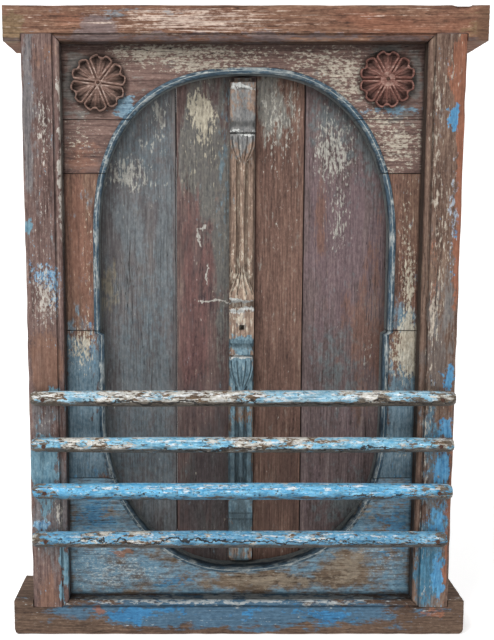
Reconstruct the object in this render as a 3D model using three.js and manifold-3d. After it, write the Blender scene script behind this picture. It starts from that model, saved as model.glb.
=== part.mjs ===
// Old wooden window: a heavy frame with an arched surround, a pair of plank shutters that turn on
// wooden pintles, a carved astragal, four nailed guard rods and two carved rosettes.
// Millimetres. X runs to the right, Y to the back of the window and Z up. The origin is on the
// ground under the middle of the sill.
import * as THREE from 'three';
import { mergeVertices } from 'three/addons/utils/BufferGeometryUtils.js';
import Module from 'manifold-3d';

const wasm = await Module();
wasm.setup();

// Frame
const height = 1000;
const frameFront = -39.5;
const frameDepth = 105;
const frameBack = frameFront + frameDepth;
const headEnds = [-366, 371];
const sillEnds = [-371, 366];
const headBottom = 947;
const sillTop = 58;
const housing = 11;
const stileOuter = 339.5;
const stileInner = 281;
const scoredLineHeight = 490;
const clearance = 0.3;

// Bead worked on the inner front edges of the frame
const beadWidth = 9.6;
const beadHeight = 4.8;
const quirk = { width: 1.4, depth: 2.6 };

// Arched surround, built up of eight boards let into a groove in the frame
const surroundFront = -11.5;
const surroundThickness = 26;
const surroundBack = surroundFront + surroundThickness;
const grooveDepth = 8.3;
const boardJoints = { top: 833, corner: 750, middle: 500.7, bottom: 256.6 };
const boardGap = 0.8;
const arch = {
  upper: {
    centreX: 16,
    springZ: 630,
    rise: 283,
    left: { reach: 253, power: 2.6 },
    right: { reach: 228.5, power: 2.3 },
  },
  lower: {
    centreX: -16,
    springZ: 360,
    rise: 265,
    left: { reach: 214.5, power: 2.02 },
    right: { reach: 254, power: 2.45 },
  },
};
const archBead = { width: 10, height: 5, root: 4 };
const archSteps = 28;

// Shutters
const leaf = { front: 16.5, thickness: 22, bottom: 61, top: 944 };
const leafBack = leaf.front + leaf.thickness;
const pintleY = leaf.front + leaf.thickness / 2;
const pintle = { x: 268, radius: 8, length: 19, socketRadius: 9, socketDepth: 21 };
const meeting = { left: 22.3, right: 23 };
const plankJoint = { left: -105, right: 101, front: 0.9, back: 0.25 };
const ledge = { thickness: 18, height: 70, fromPintle: 50, fromMeeting: 8, chamfer: 5 };
const ledgeHeights = { top: 780, bottom: 150 };

// Astragal
const astragal = { centreX: 1, halfWidth: 20.5, bottom: 108.5, top: 899 };
const relief = { block: 18, strip: 8, rib: 14 };

// Guard rods
const rodAxisY = frameFront - 12;
const rodFlatFront = frameFront - 23;
const rodFlatStart = 298;
const rods = [
  { z: 398, radius: 13.5, ends: [-333, 335] },
  { z: 323, radius: 13, ends: [-333, 335] },
  { z: 247, radius: 14, ends: [-333, 335] },
  { z: 167.5, radius: 14, ends: [-335, 329] },
];
const nail = { x: 313, headRadius: 3.6, headThickness: 1.5, radius: 1.9, length: 44 };
const nailHole = nail.radius + clearance;

// Rosettes
const rosette = { radius: 45.5, thickness: 10.5, petals: 6, bossRadius: 8 };
const rosettes = [
  { side: 'left', x: -224.4, z: 888, turn: -8 },
  { side: 'right', x: 223.5, z: 893.6, turn: 0 },
];

// Solids

function solidOf(geometry) {
  const bare = geometry.clone();
  bare.deleteAttribute('normal');
  bare.deleteAttribute('uv');
  const merged = mergeVertices(bare, 1e-3);
  const vertProperties = new Float32Array(merged.attributes.position.array);
  const triVerts = new Uint32Array(merged.index.array);
  return new wasm.Manifold(new wasm.Mesh({ numProp: 3, vertProperties, triVerts }));
}

function geometryOf(solid) {
  const mesh = solid.getMesh();
  const geometry = new THREE.BufferGeometry();
  geometry.setAttribute('position', new THREE.BufferAttribute(mesh.vertProperties, 3));
  geometry.setIndex(new THREE.BufferAttribute(mesh.triVerts, 1));
  geometry.computeVertexNormals();
  return geometry;
}

const cut = (solid, ...tools) => tools.reduce((body, tool) => body.subtract(tool), solid);
const join = (solid, ...others) => others.reduce((body, other) => body.add(other), solid);

// The outline's two numbers are the two axes left over, in the order x, y, z.
const prismAxes = {
  x: [new THREE.Vector3(0, 1, 0), new THREE.Vector3(0, 0, 1), new THREE.Vector3(1, 0, 0)],
  y: [new THREE.Vector3(1, 0, 0), new THREE.Vector3(0, 0, 1), new THREE.Vector3(0, -1, 0)],
  z: [new THREE.Vector3(1, 0, 0), new THREE.Vector3(0, 1, 0), new THREE.Vector3(0, 0, 1)],
};

function prism(outline, along, from, to) {
  const shape = new THREE.Shape(outline.map(([a, b]) => new THREE.Vector2(a, b)));
  const geometry = new THREE.ExtrudeGeometry(shape, { depth: to - from, bevelEnabled: false });
  const axes = prismAxes[along];
  geometry.applyMatrix4(new THREE.Matrix4().makeBasis(...axes));
  const start = along === 'y' ? -to : from;
  geometry.translate(axes[2].x * start, axes[2].y * start, axes[2].z * start);
  return solidOf(geometry);
}

function block(x, y, z) {
  const geometry = new THREE.BoxGeometry(x[1] - x[0], y[1] - y[0], z[1] - z[0]);
  geometry.translate((x[0] + x[1]) / 2, (y[0] + y[1]) / 2, (z[0] + z[1]) / 2);
  return solidOf(geometry);
}

// A turned body: the profile holds [radius, distance along the axis].
function turned(profile, along, place, sides) {
  const points = profile.map(([radius, distance]) => new THREE.Vector2(radius, distance));
  const geometry = new THREE.LatheGeometry(points, sides);
  if (along === 'x') geometry.rotateZ(-Math.PI / 2);
  if (along === 'y') geometry.rotateX(Math.PI);
  if (along === 'y') geometry.rotateZ(Math.PI);
  if (along === 'z') geometry.rotateX(Math.PI / 2);
  geometry.translate(...place);
  return solidOf(geometry);
}

const rod = (radius, from, to) => [[0, from], [radius, from], [radius, to], [0, to]];

// Edges of the frame

// The waste taken off an inner front edge to leave the bead and its quirk: [distance from the
// inner edge, y].
function beadWaste() {
  const rootY = frameFront + beadHeight;
  const quirkInner = beadWidth - 0.3;
  const waste = [
    [-1, frameFront - 1],
    [beadWidth + quirk.width, frameFront - 1],
    [beadWidth + quirk.width, frameFront + quirk.depth],
    [quirkInner, frameFront + quirk.depth],
  ];
  const steps = 6;
  for (let step = 1; step <= steps; step++) {
    const turn = 0.2 * Math.PI + (0.8 * Math.PI * step) / steps;
    const across = beadWidth / 2 + (beadWidth / 2) * Math.cos(turn);
    waste.push([across, rootY - (beadHeight - 0.3) * Math.sin(turn)]);
  }
  waste.push([-1, rootY]);
  return waste;
}

const grooveY = [surroundFront - clearance, surroundBack + clearance];

const socket = (x, from, to) => turned(rod(pintle.socketRadius, from, to), 'z', [x, pintleY, 0], 24);

function makeHead() {
  const shoulder = headBottom + housing;
  const outline = [[headEnds[0], height], [headEnds[1], height], [headEnds[1], headBottom]];
  outline.push([stileOuter + clearance, headBottom], [stileOuter + clearance, shoulder]);
  outline.push([stileInner + housing, shoulder], [stileInner, headBottom]);
  outline.push([-stileInner, headBottom], [-stileInner - housing, shoulder]);
  outline.push([-stileOuter - clearance, shoulder], [-stileOuter - clearance, headBottom]);
  outline.push([headEnds[0], headBottom]);
  const bar = prism(outline, 'y', frameFront, frameBack);
  const waste = beadWaste().map(([across, y]) => [y, headBottom + across]);
  const beadEnd = stileInner + housing + 1;
  const grooveEnd = stileInner + grooveDepth;
  return cut(
    bar,
    prism(waste, 'x', -beadEnd, beadEnd),
    block([-grooveEnd, grooveEnd], grooveY, [headBottom - 1, headBottom + grooveDepth]),
    socket(-pintle.x, headBottom - 1, headBottom + pintle.socketDepth),
    socket(pintle.x, headBottom - 1, headBottom + pintle.socketDepth),
  );
}

function makeSill() {
  const shoulder = sillTop - housing;
  const corner = 5;
  const outline = [[sillEnds[0] + corner, 0], [sillEnds[0], corner], [sillEnds[0], sillTop - 1]];
  outline.push([-stileOuter - clearance, sillTop - 1], [-stileOuter - clearance, shoulder]);
  outline.push([-stileInner - housing, shoulder], [-stileInner, sillTop]);
  outline.push([stileInner, sillTop], [stileInner + housing, shoulder]);
  outline.push([stileOuter + clearance, shoulder], [stileOuter + clearance, sillTop - 1]);
  outline.push([sillEnds[1], sillTop - 1], [sillEnds[1], corner], [sillEnds[1] - corner, 0]);
  const bar = prism(outline, 'y', frameFront, frameBack);
  const waste = beadWaste().map(([across, y]) => [y, sillTop - across]);
  const beadEnd = stileInner + housing + 1;
  const grooveEnd = stileInner + grooveDepth;
  return cut(
    bar,
    prism(waste, 'x', -beadEnd, beadEnd),
    block([-grooveEnd, grooveEnd], grooveY, [sillTop - grooveDepth, sillTop + 1]),
    socket(-pintle.x, sillTop - pintle.socketDepth, sillTop + 1),
    socket(pintle.x, sillTop - pintle.socketDepth, sillTop + 1),
  );
}

function makeStile(side) {
  const mitre = clearance * Math.SQRT2;
  const top = headBottom + housing - clearance;
  const bottom = sillTop - housing + clearance;
  const outline = [[stileOuter, bottom], [stileOuter, top]];
  outline.push([stileInner + (top - headBottom) + mitre, top], [stileInner, headBottom - mitre]);
  outline.push([stileInner, sillTop + mitre], [stileInner + (sillTop - bottom) + mitre, bottom]);
  const onSide = ([x, other]) => [side * x, other];
  const bar = prism(outline.map(onSide), 'y', frameFront, frameBack);
  const waste = beadWaste().map(([across, y]) => onSide([stileInner + across, y]));
  const line = [[frameFront - 1, scoredLineHeight - 1.8], [frameFront - 1, scoredLineHeight + 1.8]];
  line.push([frameFront + 1.2, scoredLineHeight]);
  const span = (from, to) => [side * from, side * to].sort((a, b) => a - b);
  const nailHoles = rods.map((each) => block(
    span(nail.x - nailHole, nail.x + nailHole),
    [frameFront - 1, rodFlatFront + nail.length + clearance],
    [each.z - nailHole, each.z + nailHole],
  ));
  return cut(
    bar,
    prism(waste, 'z', bottom - 1, top + 1),
    block(span(stileInner - 1, stileInner + grooveDepth), grooveY, [bottom - 1, top + 1]),
    prism(line, 'x', ...span(stileInner + beadWidth + quirk.width, stileOuter + 1)),
    ...nailHoles,
  );
}

// A spur left on the outside of the left stile, under the head's horn, at the back.
function makeStileSpur() {
  const outer = -stileOuter;
  const outline = [[outer + 1, headBottom - 7], [outer - 8, 925], [outer - 4.5, 905], [outer + 1, 896]];
  return prism(outline, 'y', frameBack - 40, frameBack);
}

// Surround

// A point of the arch outline, moved inwards by inset. The turn goes once round from the right.
function archPoint(half, turn, inset) {
  const across = Math.cos(turn);
  const up = Math.sin(turn);
  const side = across < 0 ? half.left : half.right;
  const x = Math.sign(across) * (side.reach - inset) * Math.abs(across) ** (2 / side.power);
  const z = Math.sign(up) * (half.rise - inset) * Math.abs(up) ** (2 / side.power);
  return [half.centreX + x, half.springZ + z];
}

function archStations() {
  const stations = [];
  for (let step = 0; step <= archSteps; step++) {
    stations.push([arch.upper, (Math.PI * step) / archSteps]);
  }
  for (let step = 0; step <= archSteps; step++) {
    stations.push([arch.lower, Math.PI + (Math.PI * step) / archSteps]);
  }
  return stations;
}

const archOutline = (inset) => archStations().map(([half, turn]) => archPoint(half, turn, inset));

// The bead's section is turned into a ring, and the ring is bent to the arch outline.
function makeArchBead() {
  const { width, height: rise, root } = archBead;
  const section = [[width + 2, surroundFront + root], [0, surroundFront + root]];
  const steps = 6;
  for (let step = 0; step <= steps; step++) {
    const turn = (Math.PI * step) / steps;
    const inset = width / 2 - (width / 2) * Math.cos(turn);
    section.push([inset, surroundFront - 0.4 - (rise - 0.4) * Math.sin(turn)]);
  }
  section.push([width + 2, surroundFront - 0.4], section[0]);
  const ringRadius = 100;
  const points = section.map(([inset, y]) => new THREE.Vector2(ringRadius - inset, y));
  const stations = archStations();
  const ring = new THREE.LatheGeometry(points, stations.length);
  const position = ring.attributes.position;
  for (let station = 0; station <= stations.length; station++) {
    const [half, turn] = stations[station % stations.length];
    section.forEach(([inset, y], index) => {
      const [x, z] = archPoint(half, turn, inset);
      position.setXYZ(station * section.length + index, x, y, z);
    });
  }
  return solidOf(ring);
}

const archBeadRing = makeArchBead();
const archOpening = prism(archOutline(archBead.width), 'y', surroundFront - 20, surroundBack + 20);

function makeSurroundBoard(x, z) {
  const board = block(x, [surroundFront, surroundBack], z);
  const reach = block(x, [surroundFront - 20, surroundBack], z);
  return cut(join(board, archBeadRing.intersect(reach)), archOpening);
}

const panelEdge = stileInner + grooveDepth - clearance;
const panelTop = headBottom + grooveDepth - clearance;
const panelBottom = sillTop - grooveDepth + clearance;

function surroundBoards() {
  const { top, corner, middle, bottom } = boardJoints;
  const half = boardGap / 2;
  const boards = [
    ['top_board', [-panelEdge, panelEdge], [top + half, panelTop]],
    ['bottom_board', [-panelEdge, panelEdge], [panelBottom, bottom - half]],
  ];
  const levels = [['corner_board', corner, top], ['side_board_upper', middle, corner]];
  levels.push(['side_board_lower', bottom, middle]);
  levels.forEach(([name, from, to]) => {
    boards.push([`${name}_left`, [-panelEdge, -100], [from + half, to - half]]);
    boards.push([`${name}_right`, [100, panelEdge], [from + half, to - half]]);
  });
  return boards;
}

// Shutters

// Section of a plank from its pintle edge, or from a plank joint, to its other edge. The plank
// joints are a little open at the front.
function plankSection(side, from, to, openFrom, openTo) {
  const { front, back } = plankJoint;
  const shy = back - front;
  const section = [];
  if (from === 'pintle') {
    const steps = 10;
    for (let step = 0; step <= steps; step++) {
      const turn = Math.PI / 2 + (Math.PI * step) / steps;
      const radius = leaf.thickness / 2;
      section.push([side * (-pintle.x + radius * Math.cos(turn)), pintleY + radius * Math.sin(turn)]);
    }
  } else {
    section.push([from, leafBack], [openFrom ? from + shy * openFrom : from, leaf.front]);
  }
  section.push([openTo ? to + shy * openTo : to, leaf.front], [to, leafBack]);
  return section;
}

function makePlank(section, pintleX) {
  const plank = prism(section, 'z', leaf.bottom, leaf.top);
  if (pintleX === undefined) return plank;
  const pin = rod(pintle.radius, leaf.bottom - pintle.length, leaf.top + pintle.length);
  return join(plank, turned(pin, 'z', [pintleX, pintleY, 0], 24));
}

function shutterPlanks() {
  const { left, right, back } = plankJoint;
  const outerLeft = plankSection(1, 'pintle', left - back, 0, 1);
  const innerLeft = plankSection(1, left + back, meeting.left, -1, 0);
  const innerRight = plankSection(1, meeting.right, right - back, 0, 1);
  const outerRight = plankSection(-1, 'pintle', right + back, 0, -1);
  return [
    ['left_leaf_outer_board', makePlank(outerLeft, -pintle.x)],
    ['left_leaf_inner_board', makePlank(innerLeft)],
    ['right_leaf_inner_board', makePlank(innerRight)],
    ['right_leaf_outer_board', makePlank(outerRight, pintle.x)],
  ];
}

function makeLedge(x, z) {
  const { chamfer } = ledge;
  const front = leafBack + clearance;
  const back = front + ledge.thickness;
  const section = [[front, z], [back - chamfer, z], [back, z + chamfer]];
  section.push([back, z + ledge.height - chamfer], [back - chamfer, z + ledge.height]);
  section.push([front, z + ledge.height]);
  return prism(section, 'x', x[0], x[1]);
}

function ledges() {
  const spans = {
    left: [-pintle.x + ledge.fromPintle, meeting.left - ledge.fromMeeting],
    right: [meeting.right + ledge.fromMeeting, pintle.x - ledge.fromPintle],
  };
  return Object.entries(spans).flatMap(([side, span]) => (
    Object.entries(ledgeHeights).map(([level, z]) => [`${side}_leaf_${level}_ledge`, makeLedge(span, z)])
  ));
}

// Astragal

// Points of a rounded change from one width and relief to another: [z, half width, relief].
function swell(from, to, bulge) {
  const steps = 5;
  return Array.from({ length: steps + 1 }, (_, step) => {
    const part = step / steps;
    const eased = part ** bulge;
    return from.map((value, index) => value + (to[index] - value) * (index ? eased : part));
  });
}

function astragalLevels() {
  const { halfWidth: full, top, bottom } = astragal;
  const { block: high, rib } = relief;
  return [
    [top, 14, high - 4], [893, 15.5, high - 3], [893, full, high], [838, full, high],
    [829, full - 3.2, high - 3], [826, full - 3.2, high - 3], [817, full, high],
    [815.4, full, high], [815.4, full - 2.5, high - 5], [813.4, full - 2.5, high - 5],
    [812, full - 0.3, high - 0.5], ...swell([800, full - 0.3, high], [766, 5.2, rib], 1.9),
    [700, 4, rib - 1], ...swell([622, 4.5, rib - 1], [562, full, high], 2.2).slice(0, -1),
    [560, full, high], [549.5, full, high], [546, full - 3, high - 3.5],
    [538, full - 3, high - 3.5], [534, full, high], [485, full, high],
    [482, full - 1.5, high - 2], [478, full - 1.5, high - 2], [475, full - 4.5, high - 4],
    [464, full - 0.5, high], [459, full, high - 0.5], [457, full - 2.5, high - 4],
    [455, full - 1.2, high - 1], ...swell([441, full - 0.5, high], [401, 5.5, rib], 1.9),
    [330, 4.2, rib - 1], ...swell([262, 4.5, rib - 1], [224, full, high], 2.2),
    [bottom + 7, full - 0.5, high], [bottom, full - 6, high - 6],
  ];
}

function makeAstragal() {
  const { centreX, halfWidth, top, bottom } = astragal;
  const back = leaf.front - clearance;
  const levels = astragalLevels();
  const right = levels.map(([z, half]) => [centreX + half, z]);
  const left = levels.map(([z, half]) => [centreX - half, z]).reverse();
  const front = levels.map(([z, , rise]) => [leaf.front - rise, z]);
  const foot = [[back, bottom], [back, top]];
  const outline = prism([...right, ...left], 'y', leaf.front - 30, back);
  const carved = outline.intersect(prism([...front, ...foot], 'x', -60, 60));
  const inset = halfWidth - 0.6;
  const strip = block(
    [centreX - inset, centreX + inset],
    [leaf.front - relief.strip, back],
    [bottom + 6, top - 7],
  );
  const sideRibs = [];
  [[790, 575], [425, 235]].forEach(([upper, lower]) => {
    [-1, 1].forEach((side) => {
      const across = [centreX + side * 8.5, centreX + side * (inset - 1)].sort((a, b) => a - b);
      const depth = [leaf.front - relief.strip - 3.5, back];
      sideRibs.push(block(across, depth, [lower, upper]));
    });
  });
  return join(carved, strip, ...sideRibs);
}

// Guard rods and nails

function makeRod({ z, radius, ends: [from, to] }) {
  const tip = radius - 3;
  const profile = [[0, from], [tip, from], [radius - 1.2, from + 6], [radius - 0.7, from + 60]];
  profile.push([radius, from + 210], [radius, to - 210], [radius - 0.7, to - 60]);
  profile.push([radius - 1.2, to - 6], [tip, to], [0, to]);
  const bar = turned(profile, 'x', [0, rodAxisY, z], 20);
  const seats = [-1, 1].flatMap((side) => {
    const span = (inner) => [side * inner, side * 400].sort((a, b) => a - b);
    const shank = [side * nail.x - nailHole, side * nail.x + nailHole];
    return [
      block(span(stileInner - 3), [frameFront - clearance, 0], [z - 30, z + 30]),
      block(span(rodFlatStart), [frameFront - 60, rodFlatFront], [z - 30, z + 30]),
      block(shank, [frameFront - 60, 0], [z - nailHole, z + nailHole]),
    ];
  });
  return cut(bar, ...seats);
}

// The nail's head lies on the surface at headY and its shank runs to the back.
function makeNail(x, headY, z, length) {
  const under = headY - clearance;
  const over = under - nail.headThickness;
  const profile = [[0, over], [nail.headRadius - 1.2, over], [nail.headRadius, over + 0.7]];
  profile.push([nail.headRadius, under], [nail.radius, under], [nail.radius, headY + length - 5]);
  profile.push([0, headY + length]);
  return turned(profile, 'y', [x, 0, z], 8);
}

// Rosettes

// Twelve lobes: two to each heart-shaped petal, with a deeper notch between petals.
function rosetteOutline(turn) {
  const points = [];
  const count = rosette.petals * 12;
  for (let step = 0; step < count; step++) {
    const angle = (2 * Math.PI * step) / count;
    const lobe = Math.abs(Math.sin(rosette.petals * angle));
    const radius = rosette.radius - 4.5 * (1 - lobe) ** 2;
    points.push([radius * Math.cos(angle + turn), radius * Math.sin(angle + turn)]);
  }
  return points;
}

function makeRosette({ x, z, turn }) {
  const start = THREE.MathUtils.degToRad(turn);
  const back = surroundFront - clearance;
  const front = back - rosette.thickness;
  const outline = rosetteOutline(start).map(([across, up]) => [x + across, z + up]);
  const plate = prism(outline, 'y', front + 2.5, back);
  const lobe = 2 * Math.PI / (rosette.petals * 2);
  const dishes = Array.from({ length: rosette.petals * 2 }, (_, index) => {
    const dish = new THREE.SphereGeometry(1, 10, 6);
    dish.scale(12.5, 5.2, 6.4);
    dish.translate(27.5, 0, 0);
    dish.rotateY(-(start + lobe * (index + 0.5)));
    dish.translate(x, front + 2, z);
    return solidOf(dish);
  });
  const radialBars = (width, deep) => Array.from({ length: rosette.petals }, (_, index) => {
    const bar = new THREE.BoxGeometry(36, deep, width);
    bar.translate(24, 0, 0);
    bar.rotateY(-(start + 2 * lobe * index));
    bar.translate(x, front + 1.5 + deep / 2, z);
    return solidOf(bar);
  });
  const ribs = radialBars(6.4, rosette.thickness - 1.5);
  const ribGrooves = radialBars(1.6, 1.8);
  const boss = [[0, front], [rosette.bossRadius - 2, front], [rosette.bossRadius, front + 2]];
  boss.push([rosette.bossRadius, back - 1], [0, back - 1]);
  const petals = cut(join(cut(plate, ...dishes), ...ribs), ...ribGrooves);
  const carved = join(petals, turned(boss, 'y', [x, 0, z], 16));
  return cut(carved, nailShaft(x, z, front - 1, back + 1));
}

const nailShaft = (x, z, from, to) => block(
  [x - nailHole, x + nailHole],
  [from, to],
  [z - nailHole, z + nailHole],
);

// Materials

const finish = (color, roughness, metalness = 0) => (
  new THREE.MeshStandardMaterial({ color, roughness, metalness })
);
const agedTeak = () => finish(0x6b5348, 0.85);
const paintedTeak = () => finish(0x6f7376, 0.8);
const shutterTeak = () => finish(0x6a5651, 0.85);
const carvedTeak = () => finish(0x5a4038, 0.75);
const bluePaint = () => finish(0x7fb3cf, 0.6);
const rustyIron = () => finish(0x3b2f2a, 0.7, 0.6);

// The whole window

const window = new THREE.Group();

function place(name, solid, material) {
  const mesh = new THREE.Mesh(geometryOf(solid), material);
  mesh.name = name;
  window.add(mesh);
}

place('head', makeHead(), agedTeak());
place('sill', makeSill(), agedTeak());
place('stile_left', join(makeStile(-1), makeStileSpur()), agedTeak());
place('stile_right', makeStile(1), agedTeak());

const rosetteHole = ({ x, z }) => nailShaft(x, z, surroundFront - 1, surroundFront + 16);
surroundBoards().forEach(([name, x, z]) => {
  const board = makeSurroundBoard(x, z);
  const drilled = name === 'top_board' ? cut(board, ...rosettes.map(rosetteHole)) : board;
  place(name, drilled, paintedTeak());
});

rosettes.forEach((each) => {
  const front = surroundFront - clearance - rosette.thickness;
  place(`rosette_${each.side}`, makeRosette(each), carvedTeak());
  place(`rosette_${each.side}_nail`, makeNail(each.x, front, each.z, 24), rustyIron());
});

rods.forEach((each, index) => {
  place(`rod_${index + 1}`, makeRod(each), bluePaint());
  const left = makeNail(-nail.x, rodFlatFront, each.z, nail.length);
  const right = makeNail(nail.x, rodFlatFront, each.z, nail.length);
  place(`rod_${index + 1}_nail_left`, left, rustyIron());
  place(`rod_${index + 1}_nail_right`, right, rustyIron());
});

shutterPlanks().forEach(([name, plank]) => place(name, plank, shutterTeak()));
ledges().forEach(([name, batten]) => place(name, batten, agedTeak()));
place('astragal', makeAstragal(), paintedTeak());

export default window;
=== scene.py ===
"""Old wooden window with an arched surround, plank shutters, a carved astragal and guard rods.

Lengths in the modelling functions are millimetres, in the frame's own axes: X to the right, Y to
the back and Z up. A finished piece's mesh is scaled to metres.
"""

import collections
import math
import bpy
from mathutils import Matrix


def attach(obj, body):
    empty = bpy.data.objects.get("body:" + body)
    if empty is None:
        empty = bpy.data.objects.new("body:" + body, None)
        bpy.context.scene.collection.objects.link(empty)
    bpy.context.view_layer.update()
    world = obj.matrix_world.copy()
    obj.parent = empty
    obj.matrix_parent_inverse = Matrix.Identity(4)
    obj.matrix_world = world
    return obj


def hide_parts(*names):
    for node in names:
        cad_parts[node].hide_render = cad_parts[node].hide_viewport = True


bl_info = {
    "name": "Old shuttered window",
    "version": (1, 0, 0),
    "blender": (4, 5, 0),
    "location": "View3D > Sidebar > Window",
    "description": "Builds the worn wood, paint and carving of an old shuttered window",
    "category": "Add Mesh",
}

import bmesh
import bpy
from mathutils import Vector, noise

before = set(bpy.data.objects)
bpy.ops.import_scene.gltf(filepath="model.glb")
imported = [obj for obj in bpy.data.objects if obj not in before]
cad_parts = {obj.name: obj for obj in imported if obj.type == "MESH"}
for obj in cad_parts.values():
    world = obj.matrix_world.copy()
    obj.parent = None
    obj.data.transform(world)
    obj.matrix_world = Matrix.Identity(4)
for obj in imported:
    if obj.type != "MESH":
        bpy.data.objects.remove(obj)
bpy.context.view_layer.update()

# Sizes of the frame, in millimetres
FRONT = -39.5
BACK = 65.5
HEAD_BOTTOM = 947.0
HEIGHT = 1000.0
SILL_TOP = 58.0
HEAD_ENDS = (-366.0, 371.0)
SILL_ENDS = (-371.0, 366.0)
STILE_INNER = 281.0
STILE_OUTER = 339.5
HOUSING = 11.0
GAP = 0.3
SCORED_LINE = 490.0
BEAD = 9.6
BEAD_DEPTH = 4.8
QUIRK = (9.3, 11.0, 2.6)  # start, end and depth, from the inner edge
GROOVE = (27.7, 54.3, 8.3)  # start and end behind the front, and depth

# Surround
SURROUND = (-11.5, 14.5)  # front, back
PANEL_EDGE = 289.0
PANEL = (50.0, 955.0)  # foot, top
BOARD_GAP = 0.15
JOINTS = {"top": 833.0, "corner": 750.0, "middle": 500.7, "bottom": 256.6}
ARCH_BEAD = 10.0
ARCH_SPLIT = 495.0
# Middle, spring, rise, then reach and power of the curve on the left and on the right
ARCH = {
    "upper": (16.0, 630.0, 283.0, (253.0, 2.6), (228.5, 2.3)),
    "lower": (-16.0, 360.0, 265.0, (214.5, 2.02), (254.0, 2.45)),
}

# Shutters
LEAF = (16.5, 38.5)  # front, back
LEAF_ENDS = (61.0, 944.0)
PIN = {"x": 268.0, "y": 27.5, "radius": 8.0, "length": 19.0, "socket": 9.0, "deep": 21.0}
SEAMS = (-105.0, 101.0)  # where the two planks of a leaf meet
SEAM_GAP = 0.02
MEETING = (22.3, 23.0)  # edges of the left and the right leaf
LEDGES = {"top": 780.0, "bottom": 150.0}
LEDGE_ENDS = {"left_leaf": (-218.0, 14.3), "right_leaf": (31.0, 218.0)}

# Guard rods: height, radius, ends
ROD_Y = -51.5
ROD_FLAT = -62.5  # front of the flat under a nail
ROD_BED = 278.0  # from here out a rod lies on its stile
RODS = (
    (398.0, 13.5, -333.0, 335.0),
    (323.0, 13.0, -333.0, 335.0),
    (247.0, 14.0, -333.0, 335.0),
    (167.5, 14.0, -335.0, 329.0),
)
NAIL_X = 313.0
NAIL_LENGTHS = {"rod": 44.0, "rosette": 24.0}

# Rosettes: side, x, z, turn in degrees, radius of the flat middle
ROSETTES = (("left", -224.4, 888.0, -8.0, 4.5), ("right", 223.5, 893.6, 0.0, 11.0))
ROSETTE_RISE = 10.5

# Studio, in metres, degrees and the lens's millimetres. A light has a name, a place, a size and a
# share of the key light's power.
CAMERA = {"place": (-0.0698, -1.3908, 0.6835), "tilt": 83.15, "lens": 48.67, "shift": 0.0766}
LIGHTS = (("key", (-1.3, -1.7, 2.9), 1.3, 1.0), ("fill", (2.0, -2.2, 1.5), 1.6, 0.2))
LIGHT_AIM = (0.0, 0.0, 0.5)
SWEEP = {"width": 9.0, "front": -2.6, "flat": 4.0, "bend": 1.2}
ROOM_STRENGTH = 0.43


def clamp(value, low=0.0, high=1.0):
    """The value kept between two limits."""
    return max(low, min(high, value))


def smooth(low, high, value):
    """0 below low, 1 above high and an even curve between."""
    part = clamp((value - low) / (high - low))
    return part * part * (3 - 2 * part)


def steps(start, end, pitch):
    """Even stations from start to end, no more than pitch apart."""
    count = max(1, math.ceil(abs(end - start) / pitch))
    return [start + (end - start) * step / count for step in range(count + 1)]


def stations(*marks, pitch):
    """Stations through all the marks."""
    line = []
    for start, end in zip(marks, marks[1:]):
        line += steps(start, end, pitch)[:-1]
    return line + [marks[-1]]


# Sections: closed outlines with corners (across, deep, radius, pitch of the run that follows)


def rounded(corners):
    """Points of a closed outline: (across, deep, how near to an arris)."""
    count = len(corners)
    arrises = [corner for corner in corners if corner[2] > 0]
    points = []
    for index, (across, deep, radius, pitch) in enumerate(corners):
        here = Vector((across, deep))
        before = Vector(corners[index - 1][:2])
        after = Vector(corners[(index + 1) % count][:2])
        start = here
        if radius:
            entry = here + (before - here).normalized() * min(radius, (before - here).length / 2)
            start = here + (after - here).normalized() * min(radius, (after - here).length / 2)
            for part in (0.0, 0.33, 0.67):
                points.append(entry * (1 - part) ** 2 + here * 2 * part * (1 - part) + start * part**2)
        end_radius = corners[(index + 1) % count][2]
        end = after
        if end_radius:
            end = after + (here - after).normalized() * min(end_radius, (here - after).length / 2)
        run = end - start
        along = [start + run * part for part in steps(0.0, 1.0, pitch / max(1e-6, run.length))]
        points += along[:-1] if not end_radius else along
    outline = []
    for point in points:
        nearest = min(((point - Vector(corner[:2])).length for corner in arrises), default=99.0)
        if not outline or (point - Vector(outline[-1][:2])).length > 0.02:
            outline.append((point.x, point.y, clamp(1 - nearest / 7)))
    if (Vector(outline[0][:2]) - Vector(outline[-1][:2])).length < 0.02:
        outline.pop()
    return outline


def bar(outline, line, place):
    """A closed bar: a grid bent round its outline at each station, with both ends filled."""
    around, along = len(outline), len(line) - 1
    bm = bmesh.new()
    arris = bm.verts.layers.float.new("arris")
    bead = bm.verts.layers.float.new("bead")
    # A layer of painted shade, with the dark joints
    bm.verts.layers.float.new("shade_and_joints")
    bmesh.ops.create_grid(bm, x_segments=around, y_segments=along, size=0.5)
    seam = []
    for vert in bm.verts:
        column = round((vert.co.x + 0.5) * around)
        row = round((vert.co.y + 0.5) * along)
        across, deep, near, *moulded = outline[column % around]
        vert.co = place(across, deep, line[row])
        vert[arris] = near
        vert[bead] = moulded[0] if moulded else 0.0
        if column in (0, around):
            seam.append(vert)
    bmesh.ops.remove_doubles(bm, verts=seam, dist=1e-4)
    rims = [edge for edge in bm.edges if edge.is_boundary]
    bmesh.ops.edgeloop_fill(bm, edges=rims)
    bmesh.ops.recalc_face_normals(bm, faces=bm.faces)
    return bm


# Width of the marks of the weather in millimetres, and how far they are drawn out along the grain
FIBRES = (3.4, 22)
HOLLOWS = (46, 2.5)
NICKS = (11, 3)


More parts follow.
